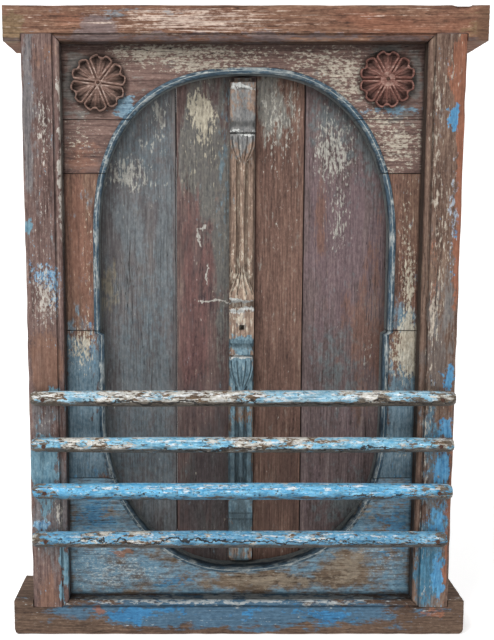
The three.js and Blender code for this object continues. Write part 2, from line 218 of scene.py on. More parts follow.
def weather(bm, grain, seed, chip=None, hollow=1.0, damage=None, shade_and_joints=None, still=0.0):
    """Sinks the surface along its own normals: raised grain, soft hollows and chipped arrises.

    The soil function gives a place's painted shade, in corners, recesses and under things, and its dark
    joints. still keeps the faces that look along X where they are.
    """
    sizes = bpy.context.scene.old_window
    grain_depth = sizes.grain_depth * 1000
    hollow_depth = sizes.hollow_depth * 1000 * hollow
    chip_depth = sizes.arris_wear * 1000 if chip is None else chip
    arris = bm.verts.layers.float["arris"]
    shade_and_joint_layer = bm.verts.layers.float["shade_and_joints"]
    axis = "xyz".index(grain)
    shift = Vector((seed * 31.7, seed * 17.3, seed * 7.9))
    bm.normal_update()
    moves = []
    for vert in bm.verts:
        here = vert.co + shift
        fibre = here / FIBRES[0]
        fibre[axis] /= FIBRES[1]
        broad = here / HOLLOWS[0]
        broad[axis] /= HOLLOWS[1]
        ridge = 1 - min(1.0, abs(noise.noise(fibre)) * 3.2)
        wave = 0.5 + 0.5 * noise.noise(broad)
        sink = grain_depth * ridge * (0.35 + wave) + hollow_depth * wave
        near = vert[arris]
        if near > 0:
            nick = here / NICKS[0]
            nick[axis] /= NICKS[1]
            loss = 0.28 + 0.75 * noise.noise(nick) + 0.5 * noise.noise(broad * 2.1)
            sink += chip_depth * near**1.6 * clamp(loss, 0.08, 1.3)
        if damage:
            sink += damage(vert.co)
        if still:
            sink *= 1 - still * abs(vert.normal.x) ** 4
        # Painted shade: a little in the grain's sunk lines, more where the soil function puts it; dark
        # joints too
        vert[shade_and_joint_layer] = max(0.16 * ridge, shade_and_joints(vert.co) if shade_and_joints else 0.0)
        moves.append((vert, vert.normal * sink))
    for vert, move in moves:
        vert.co -= move
    return bm


def keep(bm, name, body, node, material):
    """Makes the mesh an object of the window, in metres, in place of its CAD node."""
    bmesh.ops.scale(bm, vec=(0.001, 0.001, 0.001), verts=bm.verts)
    mesh = bpy.data.meshes.new(name)
    bm.to_mesh(mesh)
    bm.free()
    mesh.polygons.foreach_set("use_smooth", [True] * len(mesh.polygons))
    mesh.set_sharp_from_angle(angle=math.radians(50))
    piece = bpy.data.objects.new(name, mesh)
    bpy.context.scene.collection.objects.link(piece)
    piece.data.materials.append(material)
    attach(piece, body)
    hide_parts(node)
    return piece


# Frame


def bead_depth(across):
    """How deep the moulded inner edge lies under the frame's front."""
    if across <= QUIRK[0]:
        part = clamp(across / (BEAD / 2) - 1, -1, 1)
        return max(0.3, BEAD_DEPTH - (BEAD_DEPTH - 0.3) * math.sqrt(1 - part * part))
    return QUIRK[2] if across < QUIRK[1] else 0.0


def frame_section(width):
    """Section of a frame member from its inner edge, with the plain corner under the bead."""
    depth = BACK - FRONT
    near, far, deep = GROOVE
    bead = [(0.0, BEAD_DEPTH)]
    for step in range(1, 8):
        turn = math.pi * (1 - step / 9)
        across = BEAD / 2 * (1 + math.cos(turn))
        bead.append((across, bead_depth(across)))
    bead += [(QUIRK[0], QUIRK[2]), (QUIRK[1] - 0.2, QUIRK[2]), (QUIRK[1], 0.9)]
    plain = [(0.0, BEAD_DEPTH), (0.0, 3.4), (0.0, 2.0), (0.0, 0.8), (0.7, 0.0)]
    plain += [(2.4 + 1.4 * step, 0.0) for step in range(6)]
    corners = [(QUIRK[1] + 0.7, 0.0, 0.0, 2.1), (width, 0.0, 1.6, 4.2), (width, depth, 1.4, 5.0)]
    corners += [(0.0, depth, 1.2, 5.0), (0.0, far, 0.0, 9.0), (deep, far, 0.0, 9.0)]
    corners += [(deep, near, 0.0, 9.0), (0.0, near, 0.0, 4.0), (0.0, BEAD_DEPTH, 0.0, 99.0)]
    loop = rounded(corners)
    rest = [point for point in loop if not (point[1] <= BEAD_DEPTH and point[0] < 0.01)]
    outline = [(*point, *((0.35, 1.0) if index < 8 else (0.0, 0.0))) for index, point in enumerate(bead)]
    return outline + rest, plain


def rail(width, side, ends, flat):
    """A head or sill: side is +1 for the head, and flat is the inner edge's height."""
    outline, plain = frame_section(width)
    moulded = len(plain)
    indexed = [(index, 0.0, *point[2:]) for index, point in enumerate(outline)]
    reach_end = STILE_OUTER + GAP - STILE_INNER

    def place(index, _, x):
        across, deep = outline[int(index)][:2]
        reach = abs(x) - STILE_INNER
        if reach >= HOUSING:
            if index < moulded:
                across, deep = plain[int(index)]
            if across < GROOVE[2] + 0.1 and GROOVE[0] - 0.1 < deep < GROOVE[1] + 0.1:
                across = 0.0
            if reach < reach_end:
                across = max(across, HOUSING)
        elif reach > 0 and across < reach:
            across, deep = reach, max(deep, bead_depth(reach))
        z = flat + side * across
        end = min(x - ends[0], ends[1] - x)
        if side < 0 and end < 9:
            z = max(z, 9 * (1 - math.sqrt(1 - (1 - end / 9) ** 2)))
        return Vector((x, FRONT + deep, z))

    marks = [ends[0], ends[0] + 2.0, ends[0] + 9.0, -STILE_OUTER - 0.4, -STILE_OUTER - 0.1]
    marks += [-STILE_INNER - HOUSING, -STILE_INNER - HOUSING + 0.1, -STILE_INNER, STILE_INNER]
    marks += [STILE_INNER + HOUSING - 0.1, STILE_INNER + HOUSING, STILE_OUTER + 0.1]
    marks += [STILE_OUTER + 0.4, ends[1] - 9.0, ends[1] - 2.0, ends[1]]
    return bar(indexed, stations(*marks, pitch=4.5), place)


def stile(side):
    """An upright with its bead mitred into the rails, and a spur at the back of the left one."""
    outline, _ = frame_section(STILE_OUTER - STILE_INNER)
    low, high = SILL_TOP - HOUSING + GAP, HEAD_BOTTOM + HOUSING - GAP

    def place(across, deep, part):
        bottom = max(low, SILL_TOP + 0.42 - across)
        top = min(high, HEAD_BOTTOM - 0.42 + across)
        z = bottom + (top - bottom) * part
        if side < 0 and across > 57 and deep > 66:
            across += 8 * smooth(896, 925, z) * (1 - smooth(925, 940, z))
        return Vector((side * (STILE_INNER + across), FRONT + deep, z))

    return bar(outline, steps(0.0, 1.0, 4.5 / (high - low)), place)


def scored(co):
    """The line scored across the stiles' fronts."""
    line = 1 - clamp(abs(co.z - SCORED_LINE) / 2.6)
    return 1.1 * line if co.y < FRONT + 2 and abs(co.x) > STILE_INNER + 11 else 0.0


def head_damage(co):
    """A shallow piece broken out of the head's top edge, and two drying cracks."""
    chip = smooth(316, 321, co.x) * (1 - smooth(339, 344, co.x)) * smooth(FRONT + 30, FRONT + 22, co.y)
    loss = 3.0 * chip * smooth(990, 997, co.z)
    for x, z, length in ((-190, 968, 120), (120, 981, 150), (300, 962, 60)):
        drift = 2.0 * noise.noise(Vector((co.x / 60, z, 0.0)))
        line = 1 - clamp(abs(co.z - z - drift) / 1.7)
        loss += 1.2 * line * (1 - clamp(abs(co.x - x) / length)) * (co.y < FRONT + 2)
    return loss


def frame_painted_shade(co):
    """Painted shade in the quirk beside the bead and on the frame's inner sides."""
    out = max(abs(co.x) - STILE_INNER, co.z - HEAD_BOTTOM, SILL_TOP - co.z)
    quirk = 0.75 * (1 - smooth(0.2, 1.6, abs(out - 10.2))) * (co.y < FRONT + 4)
    inside = 0.85 * smooth(FRONT + 3.5, FRONT + 8, co.y) * (out < 1.5)
    return max(quirk, inside)


def surround_shade_and_joints(co):
    """Painted shade where the surround meets the frame and on the arch's inner sides, painted shadow under
    the head and round the rosettes, and dark board joints.
    """
    near = min(STILE_INNER - abs(co.x), HEAD_BOTTOM - co.z, co.z - SILL_TOP)
    # Painted shadow under the head's bead
    painted_head_shadow = 0.6 * (1 - smooth(4, 16, HEAD_BOTTOM - co.z))
    joint = min(abs(co.z - level) for level in JOINTS.values())
    seam = 0.25 * (1 - smooth(0.4, 2.0, joint))
    # Painted shadow round the rosettes' rims
    carved = min(math.hypot(co.x - x, co.z - z) for _, x, z, _, _ in ROSETTES)
    seam = max(seam, 0.6 * (1 - smooth(44, 49, carved)))
    return max(0.8 * (1 - smooth(0.5, 4, near)), painted_head_shadow, seam, 0.7 * smooth(-11.2, -5, co.y))


def plank_shade_and_seams(co):
    """Painted shade on the planks along the arch's edge, and dark seams between the planks."""
    upper = co.z > ARCH_SPLIT
    middle, spring, rise, left, right = ARCH["upper" if upper else "lower"]
    reach, power = left if co.x < middle else right
    up = abs(co.z - spring) / (rise - 10) if (co.z > spring) == (middle > 0) else 0.0
    out = (abs(co.x - middle) / (reach - 10)) ** power + up**power
    room = (1 - out ** (1 / power)) * 240
    # Painted shade along the arch's edge, deeper in the upper half
    deepest = 0.5 if upper else 0.15
    joint = min(abs(co.x - seam) for seam in SEAMS)
    edge = max(0.9 * (1 - smooth(0.3, 1.7, joint)), deepest * (1 - smooth(0, 13, room)))
    return edge if co.y < LEAF[0] + 2 else 0.0


def sink_socket(bm, level, side):
    """Bores the two pintle sockets into a rail."""
    rod = bmesh.new()
    for x in (-PIN["x"], PIN["x"]):
        made = bmesh.ops.create_cone(
            rod, cap_ends=True, segments=32, radius1=PIN["socket"], radius2=PIN["socket"],
            depth=PIN["deep"] + 6,
        )
        middle = level + side * (PIN["deep"] - 6) / 2
        bmesh.ops.translate(rod, verts=made["verts"], vec=(x, PIN["y"], middle))
    bits = [bpy.data.meshes.new("socket_bit"), bpy.data.meshes.new("rail_blank")]
    rod.to_mesh(bits[0])
    bm.to_mesh(bits[1])
    rod.free()
    tool, blank = (bpy.data.objects.new(bit.name, bit) for bit in bits)
    for thing in (tool, blank):
        bpy.context.scene.collection.objects.link(thing)
    bore = blank.modifiers.new("bore", "BOOLEAN")
    bore.operation, bore.solver, bore.object = "DIFFERENCE", "EXACT", tool
    graph = bpy.context.evaluated_depsgraph_get()
    bored = bpy.data.meshes.new_from_object(blank.evaluated_get(graph))
    bm.clear()
    bm.from_mesh(bored)
    for thing in (tool, blank):
        bpy.data.objects.remove(thing)
    for mesh in (*bits, bored):
        bpy.data.meshes.remove(mesh)
    return bm


# Surround


def arch_x(z, side, inset):
    """Where the arch's edge is at a height, on the left (-1) or right (+1)."""
    middle, spring, rise, left, right = ARCH["upper" if z > ARCH_SPLIT else "lower"]
    reach, power = left if side < 0 else right
    up = abs(z - spring) / (rise - inset) if (z > spring) == (middle > 0) else 0.0
    return middle + side * (reach - inset) * (1 - min(1.0, up) ** power) ** (1 / power)


def surround_section(front_count, back_count):
    """Outline round a board from the arch's edge: (kind, share, nearness to an arris).

    The kind is the inset from the arch for the bead, or -1 for the board's face and back.
    """
    front, back = SURROUND
    # Bead layer: 3 on the arch's inner wall and the bead's inner half, for dark paint with painted shade; 2
    # on its outer half, for rubbed paint with a painted highlight; 1 at the outer edge
    outline = [(ARCH_BEAD, back - step * 4.3, 0.0, 3.0) for step in range(6)]
    for step in range(13):
        turn = math.pi * (1 - step / 12)
        inset = ARCH_BEAD / 2 * (1 - math.cos(turn))
        layer = 1.0 if inset < 0.4 else 2.0 if inset < 5.2 else 3.0
        outline.append((inset, front - 0.4 - 4.6 * math.sin(turn), 0.3, layer))
    outline.append((0.0, front, 0.0))
    rim = [(-share, front, clamp(1 - (1 - share) * 8)) for share in steps(0.0, 1.0, 1 / front_count)[1:]]
    back_run = [(-share, back, 0.0) for share in steps(1.0, 0.0, 1 / back_count)[:-1]]
    return outline + rim + [(-1.0, (front + back) / 2, 0.2)] + back_run


def side_board(side, low, high):
    """A corner or side board, between two of the surround's joints."""
    low, high = low + BOARD_GAP, high - BOARD_GAP
    width = PANEL_EDGE - min(abs(arch_x(z, side, 0)) for z in (low, high))
    outline = surround_section(max(12, round(width / 2.2)), 8)

    def place(kind, deep, z):
        if kind >= 0:
            return Vector((arch_x(z, side, kind), deep, z))
        inner = arch_x(z, side, 0.0 if deep < 0 else ARCH_BEAD)
        return Vector((inner + (side * PANEL_EDGE - inner) * -kind, deep, z))

    marks = (low, low + 0.8, low + 3.0, high - 3.0, high - 0.8, high)
    return bar(outline, stations(*marks, pitch=3.6), place)


def end_board(half):
    """The top or bottom board, whose grid fans out from the arch to the panel's rim."""
    middle, spring, rise, left, right = ARCH[half]
    up = 1 if half == "upper" else -1
    joint = JOINTS["top"] + BOARD_GAP if up > 0 else JOINTS["bottom"] - BOARD_GAP
    rim_z = PANEL[1] if up > 0 else PANEL[0]
    outline = surround_section(30, 10)
    corner = 0.2

    def arch(inset, part):
        ends = []
        for reach, power in (right, left):
            ends.append(math.asin(min(1.0, (abs(joint - spring) / (rise - inset)) ** (power / 2))))
        turn = ends[0] + (math.pi - ends[1] - ends[0]) * part
        reach, power = right if math.cos(turn) > 0 else left
        across = math.copysign(abs(math.cos(turn)) ** (2 / power), math.cos(turn))
        x = middle + (reach - inset) * across
        return Vector((x, 0, spring + up * (rise - inset) * math.sin(turn) ** (2 / power)))

    def rim(part):
        if part < corner:
            return Vector((PANEL_EDGE, 0, joint + (rim_z - joint) * part / corner))
        if part > 1 - corner:
            return Vector((-PANEL_EDGE, 0, joint + (rim_z - joint) * (1 - part) / corner))
        return Vector((PANEL_EDGE * (1 - 2 * (part - corner) / (1 - 2 * corner)), 0, rim_z))

    def place(kind, deep, part):
        if kind >= 0:
            point = arch(kind, part)
        else:
            inner = arch(0.0 if deep < 0 else ARCH_BEAD, part)
            point = inner + (rim(part) - inner) * -kind
        point.y = deep
        return point

    marks = (0.0, 0.002, 0.008, corner, 0.5, 1 - corner, 0.992, 0.998, 1.0)
    return bar(outline, stations(*marks, pitch=0.0045), place)


def joint_dip(co):
    """The boards' edges are worn down at their joints, and the face dips beside them."""
    near = min(abs(co.z - level) for level in JOINTS.values())
    return 0.3 * (1 - clamp(near / 2.6)) if co.y < 0 else 0.0


# Shutters


def plank(start, end, open_start, open_end, pin_side):
    """A plank between two edges. pin_side says which side carries the pintles, or 0."""
    front, back = LEAF
    corners = []
    if pin_side:
        edge = pin_side * PIN["x"]
        for step in range(11):
            turn = math.pi / 2 + math.pi * step / 10
            across, deep = edge - pin_side * 11 * math.cos(turn), PIN["y"] + 11 * math.sin(turn)
            corners.append((across, deep, 0.0, 99.0))
        corners[-1] = (*corners[-1][:3], 2.2)
        far = end if pin_side < 0 else start
        opened = open_end if pin_side < 0 else open_start
        corners += [(far + pin_side * 0.65 * opened, front, 1.3, 6.0), (far, back, 1.3, 6.0)]
    else:
        corners += [(start, back, 1.3, 6.0), (start + 0.65 * open_start, front, 1.3, 2.2)]
        corners += [(end - 0.65 * open_end, front, 1.3, 6.0), (end, back, 1.3, 6.0)]
    outline = rounded(corners)
    low, high = LEAF_ENDS
    line = [("leaf", z) for z in stations(low, low + 1.5, high - 1.5, high, pitch=4.8)]
    if pin_side:
        pins = [("pin", high), ("pin", high + PIN["length"] - 1), ("tip", high + PIN["length"])]
        line = [(kind, low + high - z) for kind, z in reversed(pins)] + line + pins

    def place(across, deep, station):
        kind, z = station
        if kind == "leaf":
            return Vector((across, deep, z))
        axis = Vector((pin_side * PIN["x"], PIN["y"]))
        turn = Vector((across, deep)) - axis
        point = axis + turn.normalized() * (PIN["radius"] - (1.2 if kind == "tip" else 0.0))
        return Vector((point.x, point.y, z))

    return bar(outline, line, place)


def ledge(start, end, low):
    """A chamfered batten across the back of a shutter."""
    front = LEAF[1] + 0.3
    corners = [(front, low, 0.6, 6.0), (front + 13, low, 0.0, 3.0), (front + 18, low + 5, 0.8, 4.0)]
    corners += [(front + 18, low + 65, 0.8, 3.0), (front + 13, low + 70, 0.0, 6.0)]
    corners += [(front, low + 70, 0.6, 6.0)]
    return bar(rounded(corners), stations(start, end, pitch=5.0), lambda y, z, x: Vector((x, y, z)))


# Astragal


def swell(start, end, bulge):
    """A rounded change from one width and relief to another, as levels of (z, half width, relief)."""
    levels = []
    for part in steps(0.0, 1.0, 0.2):
        shares = (part, part**bulge, part**bulge)
        levels.append(tuple(a + (b - a) * share for a, b, share in zip(start, end, shares)))
    return levels


FULL, HIGH, RIB = 20.5, 18.0, 14.0
ASTRAGAL = [
    (899, 14, HIGH - 4), (893, 15.5, HIGH - 3), (892.9, FULL, HIGH), (838, FULL, HIGH),
    (829, FULL - 3.2, HIGH - 3), (826, FULL - 3.2, HIGH - 3), (817, FULL, HIGH),
    (815.4, FULL, HIGH), (815.3, FULL - 2.5, HIGH - 5), (813.4, FULL - 2.5, HIGH - 5),
    (812, FULL - 0.3, HIGH - 0.5), *swell((800, FULL - 0.3, HIGH), (766, 5.2, RIB), 1.9),
    (700, 4, RIB - 1), *swell((622, 4.5, RIB - 1), (562, FULL, HIGH), 2.2)[:-1],
    (560, FULL, HIGH), (549.5, FULL, HIGH), (546, FULL - 3, HIGH - 3.5),
    (538, FULL - 3, HIGH - 3.5), (534, FULL, HIGH), (485, FULL, HIGH),
    (482, FULL - 1.5, HIGH - 2), (478, FULL - 1.5, HIGH - 2), (475, FULL - 4.5, HIGH - 4),
    (464, FULL - 0.5, HIGH), (459, FULL, HIGH - 0.5), (457, FULL - 2.5, HIGH - 4),
    (455, FULL - 1.2, HIGH - 1), *swell((441, FULL - 0.5, HIGH), (401, 5.5, RIB), 1.9),
    (330, 4.2, RIB - 1), *swell((262, 4.5, RIB - 1), (224, FULL, HIGH), 2.2),
    (115.5, FULL - 0.5, HIGH), (108.5, FULL - 6, HIGH - 6),
]


def astragal_level(z):
    """Half width and relief of the carving at a height."""
    for (upper, wide, high), (lower, next_wide, next_high) in zip(ASTRAGAL, ASTRAGAL[1:]):
        if lower <= z <= upper:
            part = (upper - z) / (upper - lower)
            return wide + (next_wide - wide) * part, high + (next_high - high) * part
    return ASTRAGAL[-1][1:] if z < 200 else ASTRAGAL[0][1:]


def petal_grooves(across, z):
    """Grooves cut into the bells, the lotus and the blocks."""
    cut = 0.0
    for foot, tip in ((806, 764), (560, 612), (447, 400), (226, 258)):
        part = (z - foot) / (tip - foot)
        if -0.05 < part < 1:
            wide, _ = astragal_level(z)
            for share in (0.36, 0.82):
                line = wide * (share - 0.12 * part)
                cut = max(cut, 2.0 * (1 - clamp(abs(abs(across) - line) / 1.5)) * smooth(1.0, 0.8, part))
            cut = max(cut, 1.1 * (1 - clamp(abs(across) / 1.2)) * smooth(-0.05, 0.1, part))
    for level, deep in ((882, 1.4), (193, 1.3), (183, 1.3), (151, 1.0), (530.5, 1.2)):
        cut = max(cut, deep * (1 - clamp(abs(z - level) / 2.2)))
    hole = (1 - smooth(3.0, 4.2, abs(across))) * (1 - smooth(3.2, 4.4, abs(z - 504)))
    return max(cut, 6.0 * hole)


def astragal_relief(across, z):
    """Height of the carving over the planks, with a side rib beside each slender shaft."""
    wide, high = astragal_level(z)
    base = 8.0 if 114.5 < z < 892 else high
    lean = abs(across)
    for low, top in ((575, 790), (235, 425)):
        if low < z < top:
            ends = smooth(low, low + 14, z) * smooth(top, top - 14, z)
            rib = smooth(8.2, 10.4, lean) * smooth(19.2, 17.2, lean)
            base = max(base, 8 + 3.5 * rib * (0.35 + 0.65 * ends))
    if z > 892:
        base = 8.0 if lean < 19.9 else 0.0
    crown = high - 1.6 * (lean / max(wide, 1)) ** 4
    if wide < 9:
        crown = high - 2.2 * (lean / wide) ** 2
    rise = base + (crown - base) * smooth(wide + 0.5, wide - 0.9, lean)
    return rise - petal_grooves(across, z) * (lean < wide)


def astragal_painted_shade(co):
    """Painted shade in the grooves, on the sunk fillets and on the low ground beside the shafts."""
    rise = LEAF[0] - co.y
    grooves = 0.42 * petal_grooves(co.x - 1, co.z)
    high = astragal_level(co.z)[1]
    fillet = 0.65 * smooth(0.8, 3.2, HIGH - high) if co.z > 800 or 455 < co.z < 552 else 0.0
    return max(min(0.9, grooves), fillet, 0.55 * (1 - smooth(8.5, 12.5, rise)))


def astragal():
    """The strip over the meeting edge: a grid over its front, lowered to the carving."""
    half = 20.4
    surface = [(across, 1.0) for across in steps(-half, half, 0.72)]
    sides = [(half, share) for share in (0.75, 0.5, 0.25, 0.0)]
    back = [(across, 0.0) for across in steps(half, -half, 7.0)[1:-1]]
    walls = [(-half, share) for share in (0.0, 0.25, 0.5, 0.75)]
    outline = [(*point, 0.12) for point in surface + sides + back + walls]
    foot = LEAF[0] - GAP

    def place(across, share, z):
        wide = astragal_level(z)[0]
        if not 114.5 < z < 892:
            across *= wide / 20.5
        rise = astragal_relief(clamp(across, -half + 0.2, half - 0.2), z)
        return Vector((1.0 + across, foot - (rise - GAP) * share, z))

    return bar(outline, stations(108.5, 114.4, 114.6, 891.9, 892.1, 899.0, pitch=1.5), place)


# Guard rods and nails


def guard_rod(height, radius, start, end, seed):
    """A whittled rod, a little thinner to its ends, flat behind and at the nails."""
    outline = []
    for step in range(48):
        across, up = math.cos(math.tau * step / 48), math.sin(math.tau * step / 48)
        outline.append((across, up, 0.0, smooth(0.5, -0.5, up)))

    def place(across, up, x):
        far = min(x - start, end - x)
        size = radius - 3 * (1 - smooth(0, 7, far)) - 1.0 * (1 - smooth(0, 190, far))
        turn = Vector((x / 90, across * 0.8, up * 0.8 + seed * 9))
        size -= 0.9 * (0.5 + 0.5 * noise.noise(turn))
        z, y = height + up * size, ROD_Y + across * size
        if abs(x) > ROD_BED:
            y = min(y, FRONT - GAP)
        seat = 0.6 * noise.noise(Vector((x / 25, up, seed)))
        flat = ROD_FLAT + 0.7 + seat - 2.6 * (1 - smooth(ROD_BED + 8, ROD_BED + 22, abs(x)))
        y = max(y, flat) if abs(x) > ROD_BED + 6 else y
        return Vector((x, y, z))

    beds = [-ROD_BED - 20, -ROD_BED - 0.1, -ROD_BED + 0.1, ROD_BED - 0.1, ROD_BED + 0.1, ROD_BED + 20]
    marks = [start, start + 3, start + 9, *beds, end - 9, end - 3, end]
    return bar(outline, stations(*marks, pitch=3.8), place)


def rod_underside_shade(height, radius):
    """Painted shade on a rod's underside, patchy, over paint that has gone grey-brown there, and a little
    towards its ends.
    """

    def shade_and_joints(co):
        under = (height - co.z) / radius
        near_frame = 0.3 * smooth(300, 333, abs(co.x))
        patchy = noise.noise(Vector((co.x / 24, co.z / 5, height)))
        return max(near_frame, 0.72 * smooth(-0.4, 0.55, under + 0.5 * patchy))

    return shade_and_joints


def rod_splits(seed):
    """Drying splits along a rod: (x, half length, turn round the rod, width)."""
    splits = {
        1: ((-170, 60, -2.7, 1.2), (60, 90, -2.9, 1.0), (230, 40, -2.5, 1.0)),
        2: ((-60, 70, -2.6, 1.0), (190, 60, -2.8, 1.0)),
        3: ((-20, 130, -2.6, 1.4), (215, 60, -2.9, 1.2)),
        4: ((-60, 190, -2.75, 2.0), (200, 80, -3.0, 1.6), (-250, 50, -2.6, 1.2)),
    }[seed]
    height = RODS[seed - 1][0]

    def damage(co):
        turn = math.atan2(co.z - height, ROD_Y - co.y)
        loss = 0.0
        for x, length, side, wide in splits:
            drift = 0.1 * noise.noise(Vector((co.x / 35, seed, side)))
            away = abs(turn - (side + math.pi) - drift) * 13
            away = min(away, abs(turn - (side + math.pi) - drift + math.tau) * 13)
            loss += 3.2 * (1 - clamp(away / wide)) * (1 - clamp(abs(co.x - x) / length))
        return loss

    return damage


def forged_nail(x, surface, z, length, head=3.6):
    """A hand-forged nail whose low head lies on a surface that faces the front."""
    outline = [(math.cos(math.tau * step / 14), math.sin(math.tau * step / 14), 0.0) for step in range(14)]
    under = surface - GAP
    line = [(0.8, under - 1.5), (head * 0.55, under - 1.42), (head * 0.85, under - 1.1)]
    line += [(head, under - 0.5), (head, under), (1.9, under), (1.9, surface + length - 5)]
    line += [(0.4, surface + length)]

    def place(across, up, station):
        wide, y = station
        lump = 1 - 0.12 * (0.5 + 0.5 * noise.noise(Vector((across * 1.3, up * 1.3, x + z)))) * (wide > 2)
        return Vector((x + across * wide * lump, y, z + up * wide * lump))

    return bar(outline, line, place)


# Rosettes


def rosette_rim(angle):
    """Radius of the outline: six heart-shaped petals, notched between and in the middle of each."""
    lobe = abs(math.sin(3 * angle))
    uneven = 1.6 * noise.noise(Vector((2.2 * math.cos(angle), 2.2 * math.sin(angle), 4.0)))
    return 44.6 + min(0.8, uneven) - 7.5 * (1 - lobe) ** 2.2 - 4.6 * smooth(0.88, 1.0, lobe)


def rosette_rise(radius, angle, flat):
    """Height of the carving over the rosette's back, up to ROSETTE_RISE."""
    sixth = math.pi / 3
    lean = angle % sixth
    off = min(lean, sixth - lean)
    beside = radius * math.sin(off)
    inner = rosette_rim(angle) - radius
    share = clamp(radius / 45.5)
    rib = smooth(4.9, 3.5, beside) * smooth(flat - 1, flat + 3, radius)
    rib_top = 9.8 - 1.4 * share
    cleft = 4.0 * (1 - clamp(beside / 1.7))
    floor = 8.4 - 7.2 * share**2.4
    across = abs(off - sixth / 2) / (sixth / 2)
    floor += 2.2 * (1 - clamp(abs(off - sixth / 2) * radius / 2.0)) * smooth(8, 16, radius)
    veins = math.sin(across * 9.4) ** 2
    floor -= (1.0 + 1.3 * veins) * (1 - abs(across - 0.5) * 2) * smooth(8, 22, radius)
    floor = max(1.2, floor)
    lip = 9.0 - 1.4 * share
    rise = floor + (lip - floor) * smooth(5.0, 3.0, inner)
    rise = rise + (rib_top - cleft - rise) * rib
    boss = ROSETTE_RISE - 1.2 * clamp(radius / flat) ** 2
    rise = rise + (boss - rise) * smooth(flat + 1.6, flat - 0.6, radius)
    return max(1.0, min(rise, rise - 3.5 * smooth(1.2, 0.0, inner)))


def rosette_hollow_shade(co):
    """Painted shade in the hollows of the petals, darker the deeper they lie."""
    return 0.92 * smooth(8.2, 2.6, SURROUND[0] - GAP - co.y)


def rosette(x, z, turn, flat):
    """A carved rosette: rings of a disc raised to the carving, its bead layer on the ridges for their pale
    rub and painted highlight.
    """
    around, rings = 240, 60
    start = math.radians(turn)
    back = SURROUND[0] - GAP
    outline = [(math.tau * step / around, 0.0, 0.0) for step in range(around)]
    line = [("back", 0.06), ("back", 1.0)] + [("front", part) for part in steps(1.0, 0.06, 1 / rings)]

    def place(angle, _, station):
        face, part = station
        angle += 0.07 * noise.noise(Vector((2 * math.cos(angle), 2 * math.sin(angle), turn)))
        radius = rosette_rim(angle) * part
        y = back if face == "back" else back - rosette_rise(radius, angle, flat)
        across = math.cos(angle + start) * radius
        return Vector((x + across, y, z + math.sin(angle + start) * radius))

    bm = bar(outline, line, place)
    bead = bm.verts.layers.float["bead"]
    # The bead layer marks the high ridges, which take a pale rub and a painted highlight
    for vert in bm.verts:
        vert[bead] = smooth(8.0, 9.2, back - vert.co.y)
    return bm


# Materials


def linear(code):
    """An sRGB hex code as linear light."""
    parts = [int(code[start : start + 2], 16) / 255 for start in (1, 3, 5)]
    return (*(part / 12.92 if part <= 0.04045 else ((part + 0.055) / 1.055) ** 2.4 for part in parts), 1.0)


def per(size):
    """Scale of a pattern whose marks are that many millimetres across."""
    return 1000.0 / size


def add(tree, kind, settings, inputs):
    """Adds a node with its settings. An input is a plain value, a node's first output or a socket."""
    made = tree.nodes.new("ShaderNode" + kind)
    for name, value in settings.items():
        setattr(made, name, value)
    for name, value in inputs.items():
        if isinstance(value, bpy.types.Node):
            tree.links.new(value.outputs[0], made.inputs[name])
        elif isinstance(value, bpy.types.NodeSocket):
            tree.links.new(value, made.inputs[name])
        else:
            made.inputs[name].default_value = value
    return made


def tones(tree, factor, codes, low=0.3, high=0.7):
    """A ramp of even tones over a noise's usual range."""
    ramp = add(tree, "ValToRGB", {}, {"Fac": factor})
    stops = ramp.color_ramp.elements
    for index, code in enumerate(codes):
        spot = low + (high - low) * index / max(1, len(codes) - 1)
        stop = stops[index] if index < 2 else stops.new(spot)
        stop.position = spot
        stop.color = linear(code)
    return ramp


# A coat or residue of paint, or a film of painted shade or highlight: its tones, the size of its marks
# in millimetres, the spots where there is more of it (x, z, half width, half height, how much more), the
# level where it starts, how soft its edge is, how far its marks are drawn out along the grain, how well it
# covers, how thick it is and the level of the bead layer that it keeps to.
coat = collections.namedtuple(
    "coat", "codes size spots start soft stretch strong thick bead",
    defaults=((), 0.66, 0.06, 3.0, 1.0, 0.25, 0.0),
)

# How far a spot reaches in its half widths, how far its edge wanders in metres, the middle of what the
# mottle and the fibres add at a torn edge, and the roughness of bare wood
SPOT_REACH = 1.6
WANDER = 0.034
RAGGED_MEAN = 0.25
BARE_ROUGHNESS = 0.85


